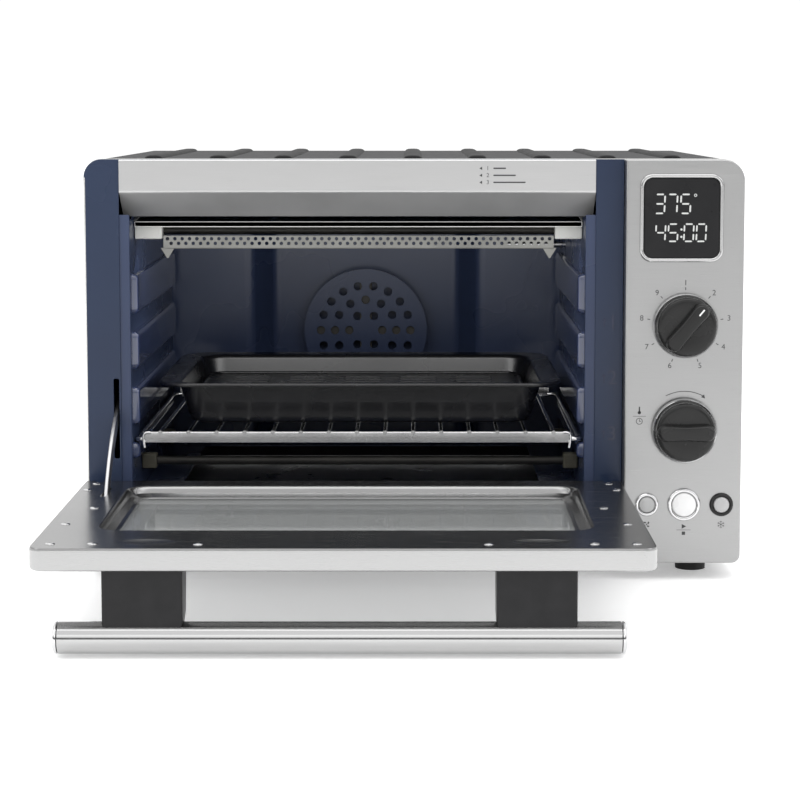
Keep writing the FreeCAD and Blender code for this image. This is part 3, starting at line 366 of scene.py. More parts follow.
def lathe(profile, axis, centre, steps=96):
    """Mesh of a profile turned about an axis; its points are (radius, place on the axis)."""
    bm = bmesh.new()
    way = -1 if axis == "y" else 1
    spots = [bm.verts.new((radius, 0, way * place)) for radius, place in profile]
    edges = [bm.edges.new(pair) for pair in zip(spots, spots[1:])]
    bmesh.ops.spin(bm, geom=spots + edges, axis=(0, 0, 1), cent=(0, 0, 0), steps=steps,
                   angle=math.tau, use_duplicate=False)
    bmesh.ops.remove_doubles(bm, verts=bm.verts, dist=1e-6)
    turn = {"x": Matrix.Rotation(math.pi / 2, 4, "Y"), "y": Matrix.Rotation(math.pi / 2, 4, "X"),
            "z": Matrix.Identity(4)}[axis]
    bmesh.ops.transform(bm, matrix=Matrix.Translation(centre) @ turn, verts=bm.verts)
    return mesh_of(bm)


def bands(loops, closed_ends=True):
    """Mesh that joins loops of the same number of points, with its ends filled."""
    bm = bmesh.new()
    rows = [[bm.verts.new(point) for point in loop] for loop in loops]
    for near, far in zip(rows, rows[1:]):
        for k in range(len(near)):
            after = (k + 1) % len(near)
            bm.faces.new((near[k], near[after], far[after], far[k]))
    if closed_ends:
        bm.faces.new(rows[0])
        bm.faces.new(rows[-1])
    return mesh_of(bm)


def sweep(points, radius, sides=12, smooth=False, closed=False):
    """Mesh of a round rod along points."""
    curve = bpy.data.curves.new("rod", "CURVE")
    curve.dimensions = "3D"
    curve.bevel_depth = radius
    curve.bevel_resolution = sides // 4
    curve.use_fill_caps = True
    spline = curve.splines.new("NURBS" if smooth else "POLY")
    spline.points.add(len(points) - 1)
    for spot, point in zip(spline.points, points):
        spot.co = (*point, 1)
    spline.use_cyclic_u = closed
    if smooth:
        spline.order_u = 3
        spline.use_endpoint_u = not closed
        spline.resolution_u = 8
    return mesh_from(curve)


def merged(*meshes):
    """One mesh from several."""
    bm = bmesh.new()
    for mesh in meshes:
        bm.from_mesh(mesh)
        bpy.data.meshes.remove(mesh)
    mesh = bpy.data.meshes.new("piece")
    bm.to_mesh(mesh)
    bm.free()
    return mesh


def carve(mesh, *cutters):
    """Take cutters out of a mesh."""
    piece = bpy.data.objects.new("carved", mesh)
    bpy.context.scene.collection.objects.link(piece)
    tools = []
    for cutter in cutters:
        tool = bpy.data.objects.new("cutter", cutter)
        bpy.context.scene.collection.objects.link(tool)
        change = piece.modifiers.new("cut", "BOOLEAN")
        change.operation, change.solver, change.object = "DIFFERENCE", "EXACT", tool
        tools.append(tool)
    bpy.context.view_layer.update()
    result = bpy.data.meshes.new_from_object(
        piece.evaluated_get(bpy.context.evaluated_depsgraph_get()))
    for item in (piece, *tools):
        bpy.data.objects.remove(item)
    return result


FIGURE_SHARE = 0.72


def lettering(text, height, face, x, z, depth=0.00012):
    """Mesh of figures that stand just out of a surface facing the front."""
    curve = bpy.data.curves.new("figures", "FONT")
    curve.body = text
    curve.size = height / FIGURE_SHARE
    curve.align_x, curve.align_y = "CENTER", "CENTER"
    curve.extrude = depth / 2
    mesh = mesh_from(curve)
    for vertex in mesh.vertices:
        across, up, out = vertex.co
        vertex.co = (x + across, face - out, z + up)
    return mesh


def finish_nodes(material, *nodes):
    """Give CAD pieces that keep their shape their material."""
    for node in nodes:
        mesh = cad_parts[node].data
        mesh.materials.clear()
        mesh.materials.append(material)


# ------------------------------------------------------------------ case and front

def make_case():
    """The wrapped cover, its raised ribs and the bright trim along its front edge."""
    low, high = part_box("outer_cover")
    rib_rise, corner = 2.2 * MM, 15 * MM
    top = high.z - rib_rise
    outer = round_rect((low.x, high.x), (low.z, top), (0, 0, corner, corner), 14)
    inner = round_rect((low.x + SKIN, high.x - SKIN), (low.z, top - SKIN),
                       (0, 0, corner - SKIN, corner - SKIN), 14)
    shape = outer[1:] + [outer[0]] + [inner[0]] + list(reversed(inner[1:]))
    cover = plate(shape, "y", (low.y, high.y), bevel=0.0003)
    place_mesh("top_cover", cover, COVER_COAT, "chassis", ("outer_cover",), 40)
    # The ribs take the darker copy of the cover paint, painted shade on the pressed ribs.
    place_mesh("top_ribs", top_ribs((low.y + 20 * MM, high.y - 18 * MM), top), RIB_SHADE_COAT,
               "chassis", (), 40)
    front = edges_of("front_frame", "y")[1] + 0.5 * MM
    path = [(x * 0.9985, front, z - 0.4 * MM) for x, z in outer if z > low.z + 1 * MM]
    place_mesh("cover_front_trim", sweep(path, 0.7 * MM, 8), EDGE_STEEL, "chassis")


def top_ribs(along, top):
    """Nine pressed ribs with round ends and a soft edge."""
    pitch, half = 47 * MM, 6.5 * MM
    ribs = []
    for step in range(-4, 5):
        across = (pitch * step - half, pitch * step + half)
        loops = []
        for inset, rise in ((0, -0.3), (0, 0.2), (0.5, 0.9), (1.4, 1.6), (2.8, 2.05), (4.4, 2.2)):
            outline = shrunk(across, along, inset * MM, 6.49 * MM - inset * MM, 10)
            loops.append([(x, y, top + rise * MM) for x, y in outline])
        ribs.append(bands(loops))
    return merged(*ribs)


def finish_plain_nodes():
    """The pieces that keep their CAD shape."""
    finish_nodes(COVER_COAT, "rear_cover")
    finish_nodes(ZINC, "base_pan", "tray_rails", "case_screws", "hinge_ears", "hinge_pins",
                 "fan_motor", "temperature_probe", "setter_rotor", "crumb_tray")
    finish_nodes(ELEMENT, "fan_blade", "upper_elements", "lower_elements")
    finish_nodes(REFLECTOR, "heat_reflector")
    finish_nodes(CAVITY_ENAMEL, "cavity_ceiling", "cavity_floor", "fan_grille",
                 "cavity_left_wall", "cavity_right_wall")
    finish_nodes(RUBBER, "feet", "window_seal")
    finish_nodes(BLACK_PLASTIC, "cord_gland", "selector_encoder", "setter_encoder")
    finish_nodes(BOARD, "circuit_boards")
    finish_nodes(LCD, "display_module")
    finish_nodes(OVEN_GLASS, "door_inner_glass", "door_outer_glass")


def make_front_frame():
    """The blue enamelled frame with the arm's slot, the mouth and the crumb tray's gate."""
    low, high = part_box("front_frame")
    arm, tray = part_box("door_arm"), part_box("crumb_tray_front")
    slot = round_rect((arm[0].x - 0.8 * MM, arm[1].x + 0.8 * MM), ARM_SLOT, 1.2 * MM, 4)
    mouth = round_rect((MOUTH_LEFT - 0.3 * MM, MOUTH_RIGHT + 0.3 * MM), (MOUTH_LOW, MOUTH_HIGH),
                       1.0 * MM, 4)
    gate = round_rect((tray[0].x - 4 * MM, tray[1].x + 4 * MM), (0.023, tray[1].z + 2.5 * MM),
                      1.0 * MM, 4)
    outer_corner = 13 * MM
    outline = round_rect((low.x, high.x), (low.z, high.z), (1 * MM, 0, 0, outer_corner), 10)
    body = plate(outline, "y", (low.y, high.y), (slot, mouth, gate), 0.0005, 3)
    place_mesh("front_frame_enamel", body, ENAMEL, "chassis", ("front_frame",))
    for near, far in ((MOUTH_LEFT - 1 * MM, WALL_LEFT + 0.2 * MM),
                      (WALL_RIGHT - 0.2 * MM, MOUTH_RIGHT + 1 * MM)):
        strip = block((near, high.y, MOUTH_LOW + 0.2 * MM),
                      (far, high.y + 2.5 * MM, MOUTH_HIGH - 16 * MM), 0.8 * MM)
        place_mesh("mouth_return", strip, CAVITY_ENAMEL, "chassis")
    raised = (low.y - 0.25 * MM, low.y + 0.2 * MM)
    make_rack_marks((WALL_RIGHT + 7 * MM + high.x) / 2, raised, low.y)
    # A thin bright steel strip on the frame's left edge is a painted highlight of that edge.
    glint_strip = round_rect((low.x + 0.2 * MM, low.x + 1.1 * MM), (low.z, high.z - outer_corner), 0)
    place_mesh("frame_edge_highlight", plate(glint_strip, "y", raised, bevel=0.0001), EDGE_STEEL, "chassis")


def make_rack_marks(middle, raised, face):
    """The numbers of the rack levels on the frame, each with an arrow."""
    arrow = ((-0.35, -3.2), (0.35, -3.2), (0.35, 1.2), (1.5, 1.2), (0, 3.2), (-1.5, 1.2),
             (-0.35, 1.2))
    for number, level in RACK_LEVELS.items():
        figure = lettering(number, 10.5 * MM, face, middle + 2.6 * MM, level, 0.0005)
        stem = [(middle - 3.4 * MM + du * MM, level + dv * MM) for du, dv in arrow]
        mark = [figure, plate(stem, "y", raised, bevel=0.0001)]
        place_mesh(f"rack_mark_{number}", mark, MARK_ENAMEL, "chassis")


def make_visor():
    """The brushed trim over the mouth: an upright face and a slope that folds in under it."""
    low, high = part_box("top_visor")
    fold, sheet = 0.277, 0.9 * MM
    profile = [(low.y + 0.75 * MM, high.z), (low.y, high.z - 0.7 * MM)]
    profile += arc((low.y + 3 * MM, fold + 2.4 * MM), 3 * MM, 180, 216, 5)
    profile += [(low.y + 2.6 * MM, fold + 2 * MM), (low.y + sheet, fold + 4 * MM),
                (low.y + sheet, high.z - 0.2 * MM)]
    face = plate(profile, "x", (low.x, high.x), bevel=0.00015)
    slope = [(low.y + 0.6 * MM, fold + 0.6 * MM), (high.y - 1 * MM, low.z),
             (high.y, low.z + 1 * MM), (low.y + 1.1 * MM, fold + 2 * MM)]
    # The slope's darker steel is painted shade under the fold.
    place_mesh("visor_slope", plate(slope, "x", (low.x, high.x), bevel=0.00015), SLOPE_SHADE_STEEL,
               "chassis")
    place_mesh("visor_trim", face, VISOR_STEEL, "chassis", ("top_visor",), 24)
    marks = []
    figures_x, printed_span = 0.0535, (low.y - 0.06 * MM, low.y + 0.05 * MM)
    arrow_x, dash_x = figures_x - 4 * MM, figures_x + 4 * MM
    for row in range(3):
        level = high.z - (6.2 + 5.0 * row) * MM
        marks.append(lettering(str(row + 1), 3.0 * MM, low.y, figures_x, level, 0.0001))
        arrow = [(arrow_x, level + 1.2 * MM), (arrow_x - 2 * MM, level),
                 (arrow_x, level - 1.2 * MM)]
        dash = round_rect((dash_x, dash_x + (9 + 7 * row) * MM),
                          (level - 0.5 * MM, level + 0.5 * MM), 0.4 * MM, 3)
        marks += [plate(shape, "y", printed_span, bevel=0.00001) for shape in (arrow, dash)]
    place_mesh("rack_guide_marks", marks, INK, "chassis")


def make_cavity():
    """The faceted back wall, and the pads pressed in the side walls between the rack levels."""
    make_back_wall()
    for node, wall, turn in (("left_rack_guides", WALL_LEFT, 1),
                             ("right_rack_guides", WALL_RIGHT, -1)):
        low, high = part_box(node)
        rise = turn * (high.x - low.x)
        edges = [low.z] + [level + step * MM for level in RACK_LEVELS.values()
                           for step in (-8, 5)] + [high.z]
        pads = []
        for bottom, top in zip(edges[::2], edges[1::2]):
            loops = []
            for inset, out in ((0, -0.1), (0, 0.15), (0.4, 0.55), (1.4, 0.85), (3.0, 1.0)):
                outline = shrunk((low.y, high.y), (bottom, top), inset * MM,
                                 (4.2 - inset * 0.8) * MM)
                loops.append([(wall + rise * out, y, z) for y, z in outline])
            pads.append(bands(loops))
        # The pads' lighter enamel is painted light on the raised pads.
        place_mesh(node + "_pads", pads, PAD_LIT_ENAMEL, "chassis",
                   (node,), 50)


def make_back_wall():
    """The back wall, which steps back round the fan over soft bends."""
    low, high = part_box("cavity_back_wall")
    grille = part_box("fan_grille")
    middle, half = (grille[0].x + grille[1].x) / 2, 84 * MM
    near, far = low.y, high.y - SKIN
    first_bend, second_bend, sheet = 14 * MM, 12 * MM, 0.9 * MM
    line = [(WALL_LEFT, near)]
    line += arc((middle - half - 18 * MM, near + first_bend), first_bend, 270, 312, 8)
    line += arc((middle - half + 12 * MM, far - second_bend), second_bend, 132, 90, 8)
    line += [(2 * middle - x, y) for x, y in reversed(line)]
    line[-1] = (WALL_RIGHT, near)
    outline = line + [(x, y + sheet) for x, y in reversed(line)]
    wall = plate(list(reversed(outline)), "z", (MOUTH_LOW, 0.2729), bevel=0.0001)
    place_mesh("back_wall", wall, CAVITY_ENAMEL, "chassis", ("cavity_back_wall",),
               50)


# ------------------------------------------------------------------ heaters

def paired_blocks(x_span, length, y_span, z_span, bevel):
    """Blocks at both ends of an element, a length along x each."""
    low_x, high_x = x_span
    return [block((near, y_span[0], z_span[0]), (near + length, y_span[1], z_span[1]), bevel)
            for near in (low_x, high_x - length)]


def make_heaters():
    """The reflector's lip, the element ends of ceramic, the guard and the lower bushes."""
    low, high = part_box("heat_reflector")
    lip = block((low.x, low.y, low.z), (high.x, low.y + 1.2 * MM, low.z + 4.2 * MM), 0.5 * MM)
    place_mesh("reflector_lip", lip, REFLECTOR, "chassis")
    low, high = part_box("upper_element_blocks")
    blocks = []
    for row in range(3):
        start = low.y + 90 * MM * row
        front = start if row else start - 7.5 * MM
        blocks += paired_blocks((low.x, high.x), 20 * MM, (front, start + 12 * MM),
                                (low.z - 1 * MM, high.z + 1 * MM), 1.0 * MM)
    place_mesh("ceramic_ends", blocks, CERAMIC, "chassis",
               ("upper_element_blocks",))
    make_guard()
    low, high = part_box("lower_element_bushes")
    bushes = []
    for start in (low.y, high.y - 11 * MM):
        bushes += paired_blocks((low.x, high.x), 11 * MM, (start, start + 11 * MM),
                                (low.z, high.z), 1.2 * MM)
    # The bushes' dark tone is painted shade low in the cavity.
    place_mesh("ceramic_bushes", bushes, SHADED_BUSH, "chassis",
               ("lower_element_bushes",))


def make_guard():
    """The folded perforated guard in front of the upper elements."""
    low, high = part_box("heater_guard")
    left, right = low.x + 20.2 * MM, high.x - 20.2 * MM
    pitch, row_step, rows, hole = 5.36 * MM, 3.4, 2, 1.25 * MM
    count = int((right - left) / pitch)
    start = (left + right - pitch * (count - 1)) / 2
    holes = [ring(start + pitch * (step + 0.5 * (row % 2)), high.z - (2.3 + row_step * row) * MM,
                  hole, 14) for row in range(rows) for step in range(count - row)]
    outline = round_rect((left, right), (low.z, high.z), 0.8 * MM, 3)
    face = plate(outline, "y", (low.y, low.y + 0.8 * MM), holes, 0.0001, 1)
    shelf = block((left, low.y, low.z), (right, high.y, low.z + 0.8 * MM), 0.3 * MM, 2)
    tabs = []
    for near in (left - 2 * MM, right - 8 * MM):
        tab = [(near + 4.5 * MM, low.z - 7 * MM), (near + 5.5 * MM, low.z - 7 * MM),
               (near + 10 * MM, low.z + 0.4 * MM), (near, low.z + 0.4 * MM)]
        tabs.append(plate(tab, "y", (low.y + 1 * MM, low.y + 1.8 * MM), bevel=0.0001))
    place_mesh("perforated_guard", [face, shelf, *tabs], GUARD_STEEL, "chassis",
               ("heater_guard",), 30)


# ------------------------------------------------------------------ rack, pan and tray

def make_rack():
    """The chrome rack: flat rails, wires with rounded ends, hooks and side rails."""
    low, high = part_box("wire_rack")
    left, right = -0.196, 0.115
    rail_low, rail_high, wire_z, side_z = 0.096, 0.104, 0.1034, 0.0984
    parts = [block((left, near, rail_low), (right, near + 2.4 * MM, rail_high), 0.6 * MM)
             for near in (low.y, high.y - 3.4 * MM)]
    middle, pitch = (left + right) / 2, 20.4 * MM
    for step in range(-7, 8):
        x = middle + pitch * step
        parts.append(sweep([(x, low.y - 0.2 * MM, wire_z), (x, high.y, wire_z)], 1.6 * MM, 12))
    for x, turn in ((left + 1.5 * MM, 1), (right - 1.5 * MM, -1)):
        hook = [(x + turn * 4 * MM, low.y - 0.5 * MM, 0.1035), (x, low.y - 0.7 * MM, 0.1040),
                (x - turn * 1.5 * MM, low.y - 0.7 * MM, 0.1000), (x, low.y - 0.6 * MM, 0.0925)]
        parts.append(sweep(hook, 1.1 * MM, 12, smooth=True))
    for x, inner in ((low.x + 2 * MM, left + 2 * MM), (high.x - 2 * MM, right - 2 * MM)):
        near, far = low.y + 3 * MM, high.y - 3 * MM
        path = [(inner, near), (x, near), (x, near + 4 * MM), (x, far - 4 * MM), (x, far),
                (inner, far)]
        parts.append(sweep([(*spot, side_z) for spot in path], 2 * MM, 12, smooth=True))
    place_mesh("chrome_rack", parts, CHROME, "rack", ("wire_rack",), 40)


def make_pan():
    """The enamelled pan with a rolled rim and a rounded bottom."""
    low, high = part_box("roasting_pan")
    rim, floor = high.z, low.z

    def loops(*steps):
        """Outlines from (inset in mm, corner in mm, height) steps."""
        return [[(x, y, z) for x, y in
                 round_rect((low.x + inset * MM, high.x - inset * MM),
                            (low.y + inset * MM * 0.8, high.y - inset * MM * 0.8), corner * MM, 12)]
                for inset, corner, z in steps]

    steps = [(2.2, 24, rim - 3.0 * MM), (0.7, 25.4, rim - 2.8 * MM), (0, 26, rim - 1.6 * MM),
             (0.5, 25.6, rim - 0.5 * MM), (1.8, 24.6, rim), (6, 23, rim - 0.4 * MM),
             (12.5, 21, rim - 1.0 * MM), (14.6, 20, rim - 1.8 * MM), (15.8, 19, rim - 4 * MM),
             (22.5, 15, floor + 6 * MM), (24.2, 14, floor + 3 * MM), (28, 12, floor + 1.5 * MM),
             (34, 9, floor + 1.2 * MM)]
    under = [(33, 10, floor), (27, 13, floor + 0.1 * MM), (23.4, 14.6, floor + 1.4 * MM),
             (21.4, 15.6, floor + 5.4 * MM), (14.8, 19.6, rim - 4 * MM),
             (12.6, 21, rim - 2.3 * MM), (6, 23, rim - 1.8 * MM), (2.6, 23.6, rim - 2.0 * MM)]
    bowl = bands(loops(*steps, *under, steps[0]), closed_ends=False)
    base = bands(loops(steps[-1], (33.9, 9, floor + 0.6 * MM), under[0]))
    place_mesh("enamel_pan", [bowl, base], BLACK_ENAMEL, "pan",
               ("roasting_pan",), 45)


def make_insert():
    """The pan's slotted insert with a rolled edge and four legs."""
    pan_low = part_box("roasting_pan")[0]
    low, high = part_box("grill_insert")
    top, edge = high.z, 1.4 * MM
    columns, rows, slot_long, slot_wide = 5, 9, 30 * MM, 5 * MM
    slots = []
    for column in range(columns):
        start = pan_low.x + (45 + column * 44) * MM
        for row in range(rows):
            near = pan_low.y + (40 + row * 14) * MM
            slots.append(round_rect((start, start + slot_long), (near, near + slot_wide),
                                    2.4 * MM, 4))
    x_span, y_span = (low.x, high.x), (low.y, high.y)
    outline = round_rect(x_span, y_span, 14 * MM, 10)
    sheet = plate(outline, "z", (top - SKIN, top), slots, 0.0004, 2)
    rim = [(x, y, top - 0.2 * MM) for x, y in shrunk(x_span, y_span, edge, 14 * MM - edge, 10)]
    legs = [block((x, y, low.z), (x + 4 * MM, y + 4 * MM, top - 0.5 * MM), 0.6 * MM)
            for x in (low.x + 12 * MM, high.x - 16 * MM)
            for y in (low.y + 8 * MM, high.y - 12 * MM)]
    edge_roll = sweep(rim, 1.3 * MM, 12, closed=True)
    place_mesh("enamel_insert", [sheet, edge_roll, *legs], BLACK_ENAMEL, "insert",
               ("grill_insert",), 40)


def make_tray():
    """The crumb tray's folded front with its finger lip."""
    low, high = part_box("crumb_tray_front")
    face, foot, sheet = FRONT - 3.5 * MM, 0.024, 1.2 * MM
    front = [(face, foot + 0.5 * MM), (face + 0.5 * MM, foot), (face + sheet, foot),
             (face + sheet, high.z - sheet), (high.y, high.z - sheet), (high.y, high.z),
             (face + 0.6 * MM, high.z), (face, high.z - 0.6 * MM)]
    under = foot + 2 * MM
    lip = [(face + 0.2 * MM, under), (face + 0.2 * MM, under + 4 * MM),
           (low.y + 1 * MM, under + 2.4 * MM), (low.y, under + 1.6 * MM),
           (low.y, under + 0.6 * MM), (low.y + 0.6 * MM, under)]
    middle, half = -0.040, 45 * MM
    grip = plate(lip, "x", (middle - half, middle + half), bevel=0.0004)
    pull = [plate(front, "x", (low.x, high.x), bevel=0.0003), grip]
    place_mesh("tray_pull", pull, EDGE_STEEL, "crumb_tray", ("crumb_tray_front",))


# ------------------------------------------------------------------ control panel

KNOB_X = 0.1938
SELECTOR_Z, SETTER_Z, BUTTON_Z = 0.184, 0.109, 0.0552
SELECTOR_TURN = math.radians(50)
BUTTONS = {"fan_button": 0.1677, "start_button": 0.1943, "frozen_button": 0.2211}
BUTTON_FLANGE = 1.6 * MM


def button_radius(node):
    """Radius of a button's cap; the CAD cap has a flange behind the panel."""
    low, high = edges_of(node, "x")
    return (high - low) / 2 - BUTTON_FLANGE


def make_panel():
    """The brushed panel, rounded on its outer corners, with its holes."""
    low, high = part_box("control_panel")
    holes = [ring(KNOB_X, level, 5.5 * MM) for level in (SELECTOR_Z, SETTER_Z)]
    holes += [ring(x, BUTTON_Z, button_radius(node) + 1 * MM) for node, x in BUTTONS.items()]
    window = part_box("display_window")
    holes.append(shrunk((window[0].x, window[1].x), (window[0].z, window[1].z), -0.3 * MM,
                        6 * MM))
    corners = (1.0 * MM, 6 * MM, 15 * MM, 1.0 * MM)
    inner_corners = (0.5 * MM, 4.8 * MM, 13.8 * MM, 0.5 * MM)
    x_span, z_span = (low.x, high.x), (low.z, high.z)
    outline = round_rect(x_span, z_span, corners, 14)
    inner = shrunk(x_span, z_span, SKIN, inner_corners, 14)
    face = plate(outline, "y", (low.y, low.y + 2.4 * MM), holes, 0.0011, 4)
    skirt = plate(outline, "y", (low.y + 1.6 * MM, high.y), (inner,), 0.0003, 1)
    place_mesh("panel_face", [face, skirt], PANEL_STEEL, "chassis",
               ("control_panel",), 30)
    make_panel_marks(low.y)


def tick_outline(centre, angle, near, far, half):
    """A narrow rectangle that points away from a centre, anticlockwise."""
    du, dv = math.cos(angle), math.sin(angle)
    return [(centre[0] + du * reach - dv * side, centre[1] + dv * reach + du * side)
            for reach, side in ((near, -half), (far, -half), (far, half), (near, half))]


def make_panel_marks(face):
    """Printed figures round the selector and plain signs for the other controls."""
    marks = []
    for number in range(9):
        angle = math.radians(90 - 40 * number)
        spot = (KNOB_X + 31.5 * MM * math.cos(angle), SELECTOR_Z + 30.5 * MM * math.sin(angle))
        marks.append(lettering(str(number + 1), 4.0 * MM, face, *spot))
        marks.append(printed(tick_outline((KNOB_X, SELECTOR_Z), angle, 25.4 * MM, 27.4 * MM,
                                          0.3 * MM), face))
    for sign in (sign_push, sign_degrees, sign_fan, sign_flake, sign_start):
        marks += sign(face)
    place_mesh("panel_marks", marks, INK, "chassis")


def printed(outline, face, holes=()):
    """Mesh of a printed mark on the panel."""
    area = sum(a[0] * b[1] - b[0] * a[1] for a, b in zip(outline, outline[1:] + outline[:1]))
    if area < 0:
        outline = list(reversed(outline))
    return plate(outline, "y", (face - 0.06 * MM, face + 0.04 * MM), holes, 0.00001, 1)


def heading(start, end):
    """The distance from one point to another and the direction between them."""
    du, dv = end[0] - start[0], end[1] - start[1]
    length = math.hypot(du, dv)
    return length, du / length, dv / length


def stroke(points, width, face):
    """Printed line of a width along points."""
    marks = []
    for (u0, v0), (u1, v1) in zip(points, points[1:]):
        du, dv = heading((u0, v0), (u1, v1))[1:]
        nu, nv = -dv * width / 2, du * width / 2
        eu, ev = du * width * 0.3, dv * width * 0.3
        marks.append(printed([(u0 - eu - nu, v0 - ev - nv), (u1 + eu - nu, v1 + ev - nv),
                              (u1 + eu + nu, v1 + ev + nv), (u0 - eu + nu, v0 - ev + nv)], face))
    return marks


def polar(centre, reach, angle):
    """A point at a distance and an angle from a centre."""
    return (centre[0] + reach * math.cos(angle), centre[1] + reach * math.sin(angle))


def sign_push(face):
    """A curved rule with an arrow head over the lower knob."""
    rule = arc((KNOB_X, SETTER_Z), 28 * MM, 118, 62, 12)
    tip = rule[-1]
    head = [(tip[0] + 1.6 * MM, tip[1] - 1.9 * MM), (tip[0] + 0.9 * MM, tip[1] + 1.1 * MM),
            (tip[0] - 1.3 * MM, tip[1] - 1.0 * MM)]
    return stroke(rule, 0.5 * MM, face) + [printed(head, face)]


def sign_degrees(face):
    """A thermometer over a clock, with a rule between them, left of the lower knob."""
    x, level = KNOB_X - 32 * MM, SETTER_Z + 10 * MM
    bulb, clock = (x, level + 2.6 * MM), (x, level - 3.6 * MM)
    marks = [printed(ring(*bulb, 1.2 * MM, 20), face)]
    marks += stroke([bulb, (x, level + 6.6 * MM)], 0.9 * MM, face)
    marks += stroke([(x - 4.5 * MM, level), (x + 4.5 * MM, level)], 0.3 * MM, face)
    marks.append(printed(ring(*clock, 2.4 * MM, 28), face, (ring(*clock, 1.95 * MM, 28),)))
    hands = [(x, clock[1] + 1.4 * MM), clock, (x + 1.1 * MM, clock[1])]
    return marks + stroke(hands, 0.4 * MM, face)


def sign_fan(face):
    """Four blades round a hub under the left button."""
    hub = (BUTTONS["fan_button"], BUTTON_Z - 14.5 * MM)
    marks = [printed(ring(*hub, 0.5 * MM, 16), face)]
    edge = ((0, 0.9), (18, 1.9), (38, 2.6), (62, 2.5), (58, 1.5), (34, 0.9))
    for turn in range(4):
        marks.append(printed([polar(hub, reach * MM, math.radians(angle + 90 * turn))
                              for angle, reach in edge], face))
    return marks


def sign_flake(face):
    """A six-armed flake under the right button."""
    centre = (BUTTONS["frozen_button"], BUTTON_Z - 14.5 * MM)
    marks = []
    for turn in range(6):
        angle = math.radians(60 * turn + 30)
        marks += stroke([centre, polar(centre, 2.6 * MM, angle)], 0.32 * MM, face)
        knee = polar(centre, 1.6 * MM, angle)
        for lean in (-50, 50):
            tip = polar(knee, 1.0 * MM, angle + math.radians(lean))
            marks += stroke([knee, tip], 0.28 * MM, face)
    return marks


def sign_start(face):
    """A start triangle over a stop square, with a rule between, under the middle button."""
    x, level = BUTTONS["start_button"], BUTTON_Z - 18.5 * MM
    start = [(x - 1.3 * MM, level + 0.9 * MM), (x + 1.9 * MM, level + 2.6 * MM),
             (x - 1.3 * MM, level + 4.3 * MM)]
    stop = round_rect((x - 1.2 * MM, x + 1.2 * MM), (level - 3.6 * MM, level - 1.2 * MM), 0)
    return [printed(start, face), printed(stop, face)] + stroke(
        [(x - 5 * MM, level), (x + 5 * MM, level)], 0.28 * MM, face)


SEGMENTS = {"0": "abcdef", "3": "abgcd", "4": "fgbc", "5": "afgcd", "7": "abc"}
FIGURE_LEAN = 0.04


def digit(figure, x, z, size, face, thick):
    """Lit segments of one digit whose lower left corner is at x, z."""
    width, height = size
    half = height / 2
    lines = {"a": ((0, height), (width, height)), "b": ((width, half), (width, height)),
             "c": ((width, 0), (width, half)), "d": ((0, 0), (width, 0)),
             "e": ((0, 0), (0, half)), "f": ((0, half), (0, height)),
             "g": ((0, half), (width, half))}
    marks = []
    for name in SEGMENTS[figure]:
        (u0, v0), end = lines[name]
        length, du, dv = heading((u0, v0), end)
        near, far = thick * 0.62, length - thick * 0.62
        outline = []
        for along, out in ((near, 0), (near + thick / 2, -0.5), (far - thick / 2, -0.5), (far, 0),
                           (far - thick / 2, 0.5), (near + thick / 2, 0.5)):
            lean = FIGURE_LEAN * (v0 + dv * along)
            outline.append((x + u0 + du * along - dv * out * thick + lean,
                            z + v0 + dv * along + du * out * thick))
        marks.append(printed(outline, face))
    return marks


def make_display():
    """Chrome bezel, dark window and the lit figures."""
    low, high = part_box("display_bezel")
    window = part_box("display_window")
    loops = []
    for inset, out, corner in ((0, 0.0, 8.6), (0, 0.5, 8.6), (0.5, 1.15, 8.2), (1.3, 1.5, 7.6),
                               (2.1, 1.3, 7.0), (2.7, 0.7, 6.4), (2.9, 0.0, 6.2)):
        outline = shrunk((low.x, high.x), (low.z, high.z), inset * MM, corner * MM, 10)
        loops.append([(x, high.y - out * MM, z) for x, z in outline])
    loops.append(loops[0])
    place_mesh("display_frame", bands(loops, closed_ends=False), BEZEL_STEEL, "chassis",
               ("display_bezel",), 50)
    pane = plate(round_rect((window[0].x, window[1].x), (window[0].z, window[1].z), 5.9 * MM, 10),
                 "y", (window[0].y, window[1].y), bevel=0.0003)
    place_mesh("display_pane", pane, LCD, "chassis", ("display_window",))
    make_figures((low.x + high.x) / 2, (low.z + high.z) / 2, window[0].y)


def make_figures(middle, level, face):
    """The lit temperature with its degree ring, and under it the time."""
    rows = (("375", (-19.4, -10.6, -1.2), 3.4, (6.8 * MM, 13.4 * MM), 1.15 * MM),
            ("4500", (-18.6, -9.8, 1.4, 10.2), -16.4, (6.6 * MM, 12.2 * MM), 1.1 * MM))
    marks = []
    for figures, starts, rise, size, thick in rows:
        for figure, start in zip(figures, starts):
            marks += digit(figure, middle + start * MM, level + rise * MM, size, face, thick)
    for rise in (-13.2, -8.0):
        marks.append(printed(ring(middle - 0.3 * MM, level + rise * MM, 0.8 * MM, 16), face))
    degree = (middle + 9.4 * MM, level + 16.2 * MM)
    marks.append(printed(ring(*degree, 1.1 * MM, 20), face, (ring(*degree, 0.6 * MM, 20),)))
    place_mesh("display_figures", marks, SEGMENT, "chassis")


def grip_outline(half_width, half_length, waist):
    """The grip ridge in plan: straight, slightly waisted, with round ends."""
    points = arc((half_length - half_width, 0), half_width, -90, 90, 8)
    points += [(0, half_width * waist)]
    points += arc((-half_length + half_width, 0), half_width, 90, 270, 8)
    points += [(0, -half_width * waist)]
    return points


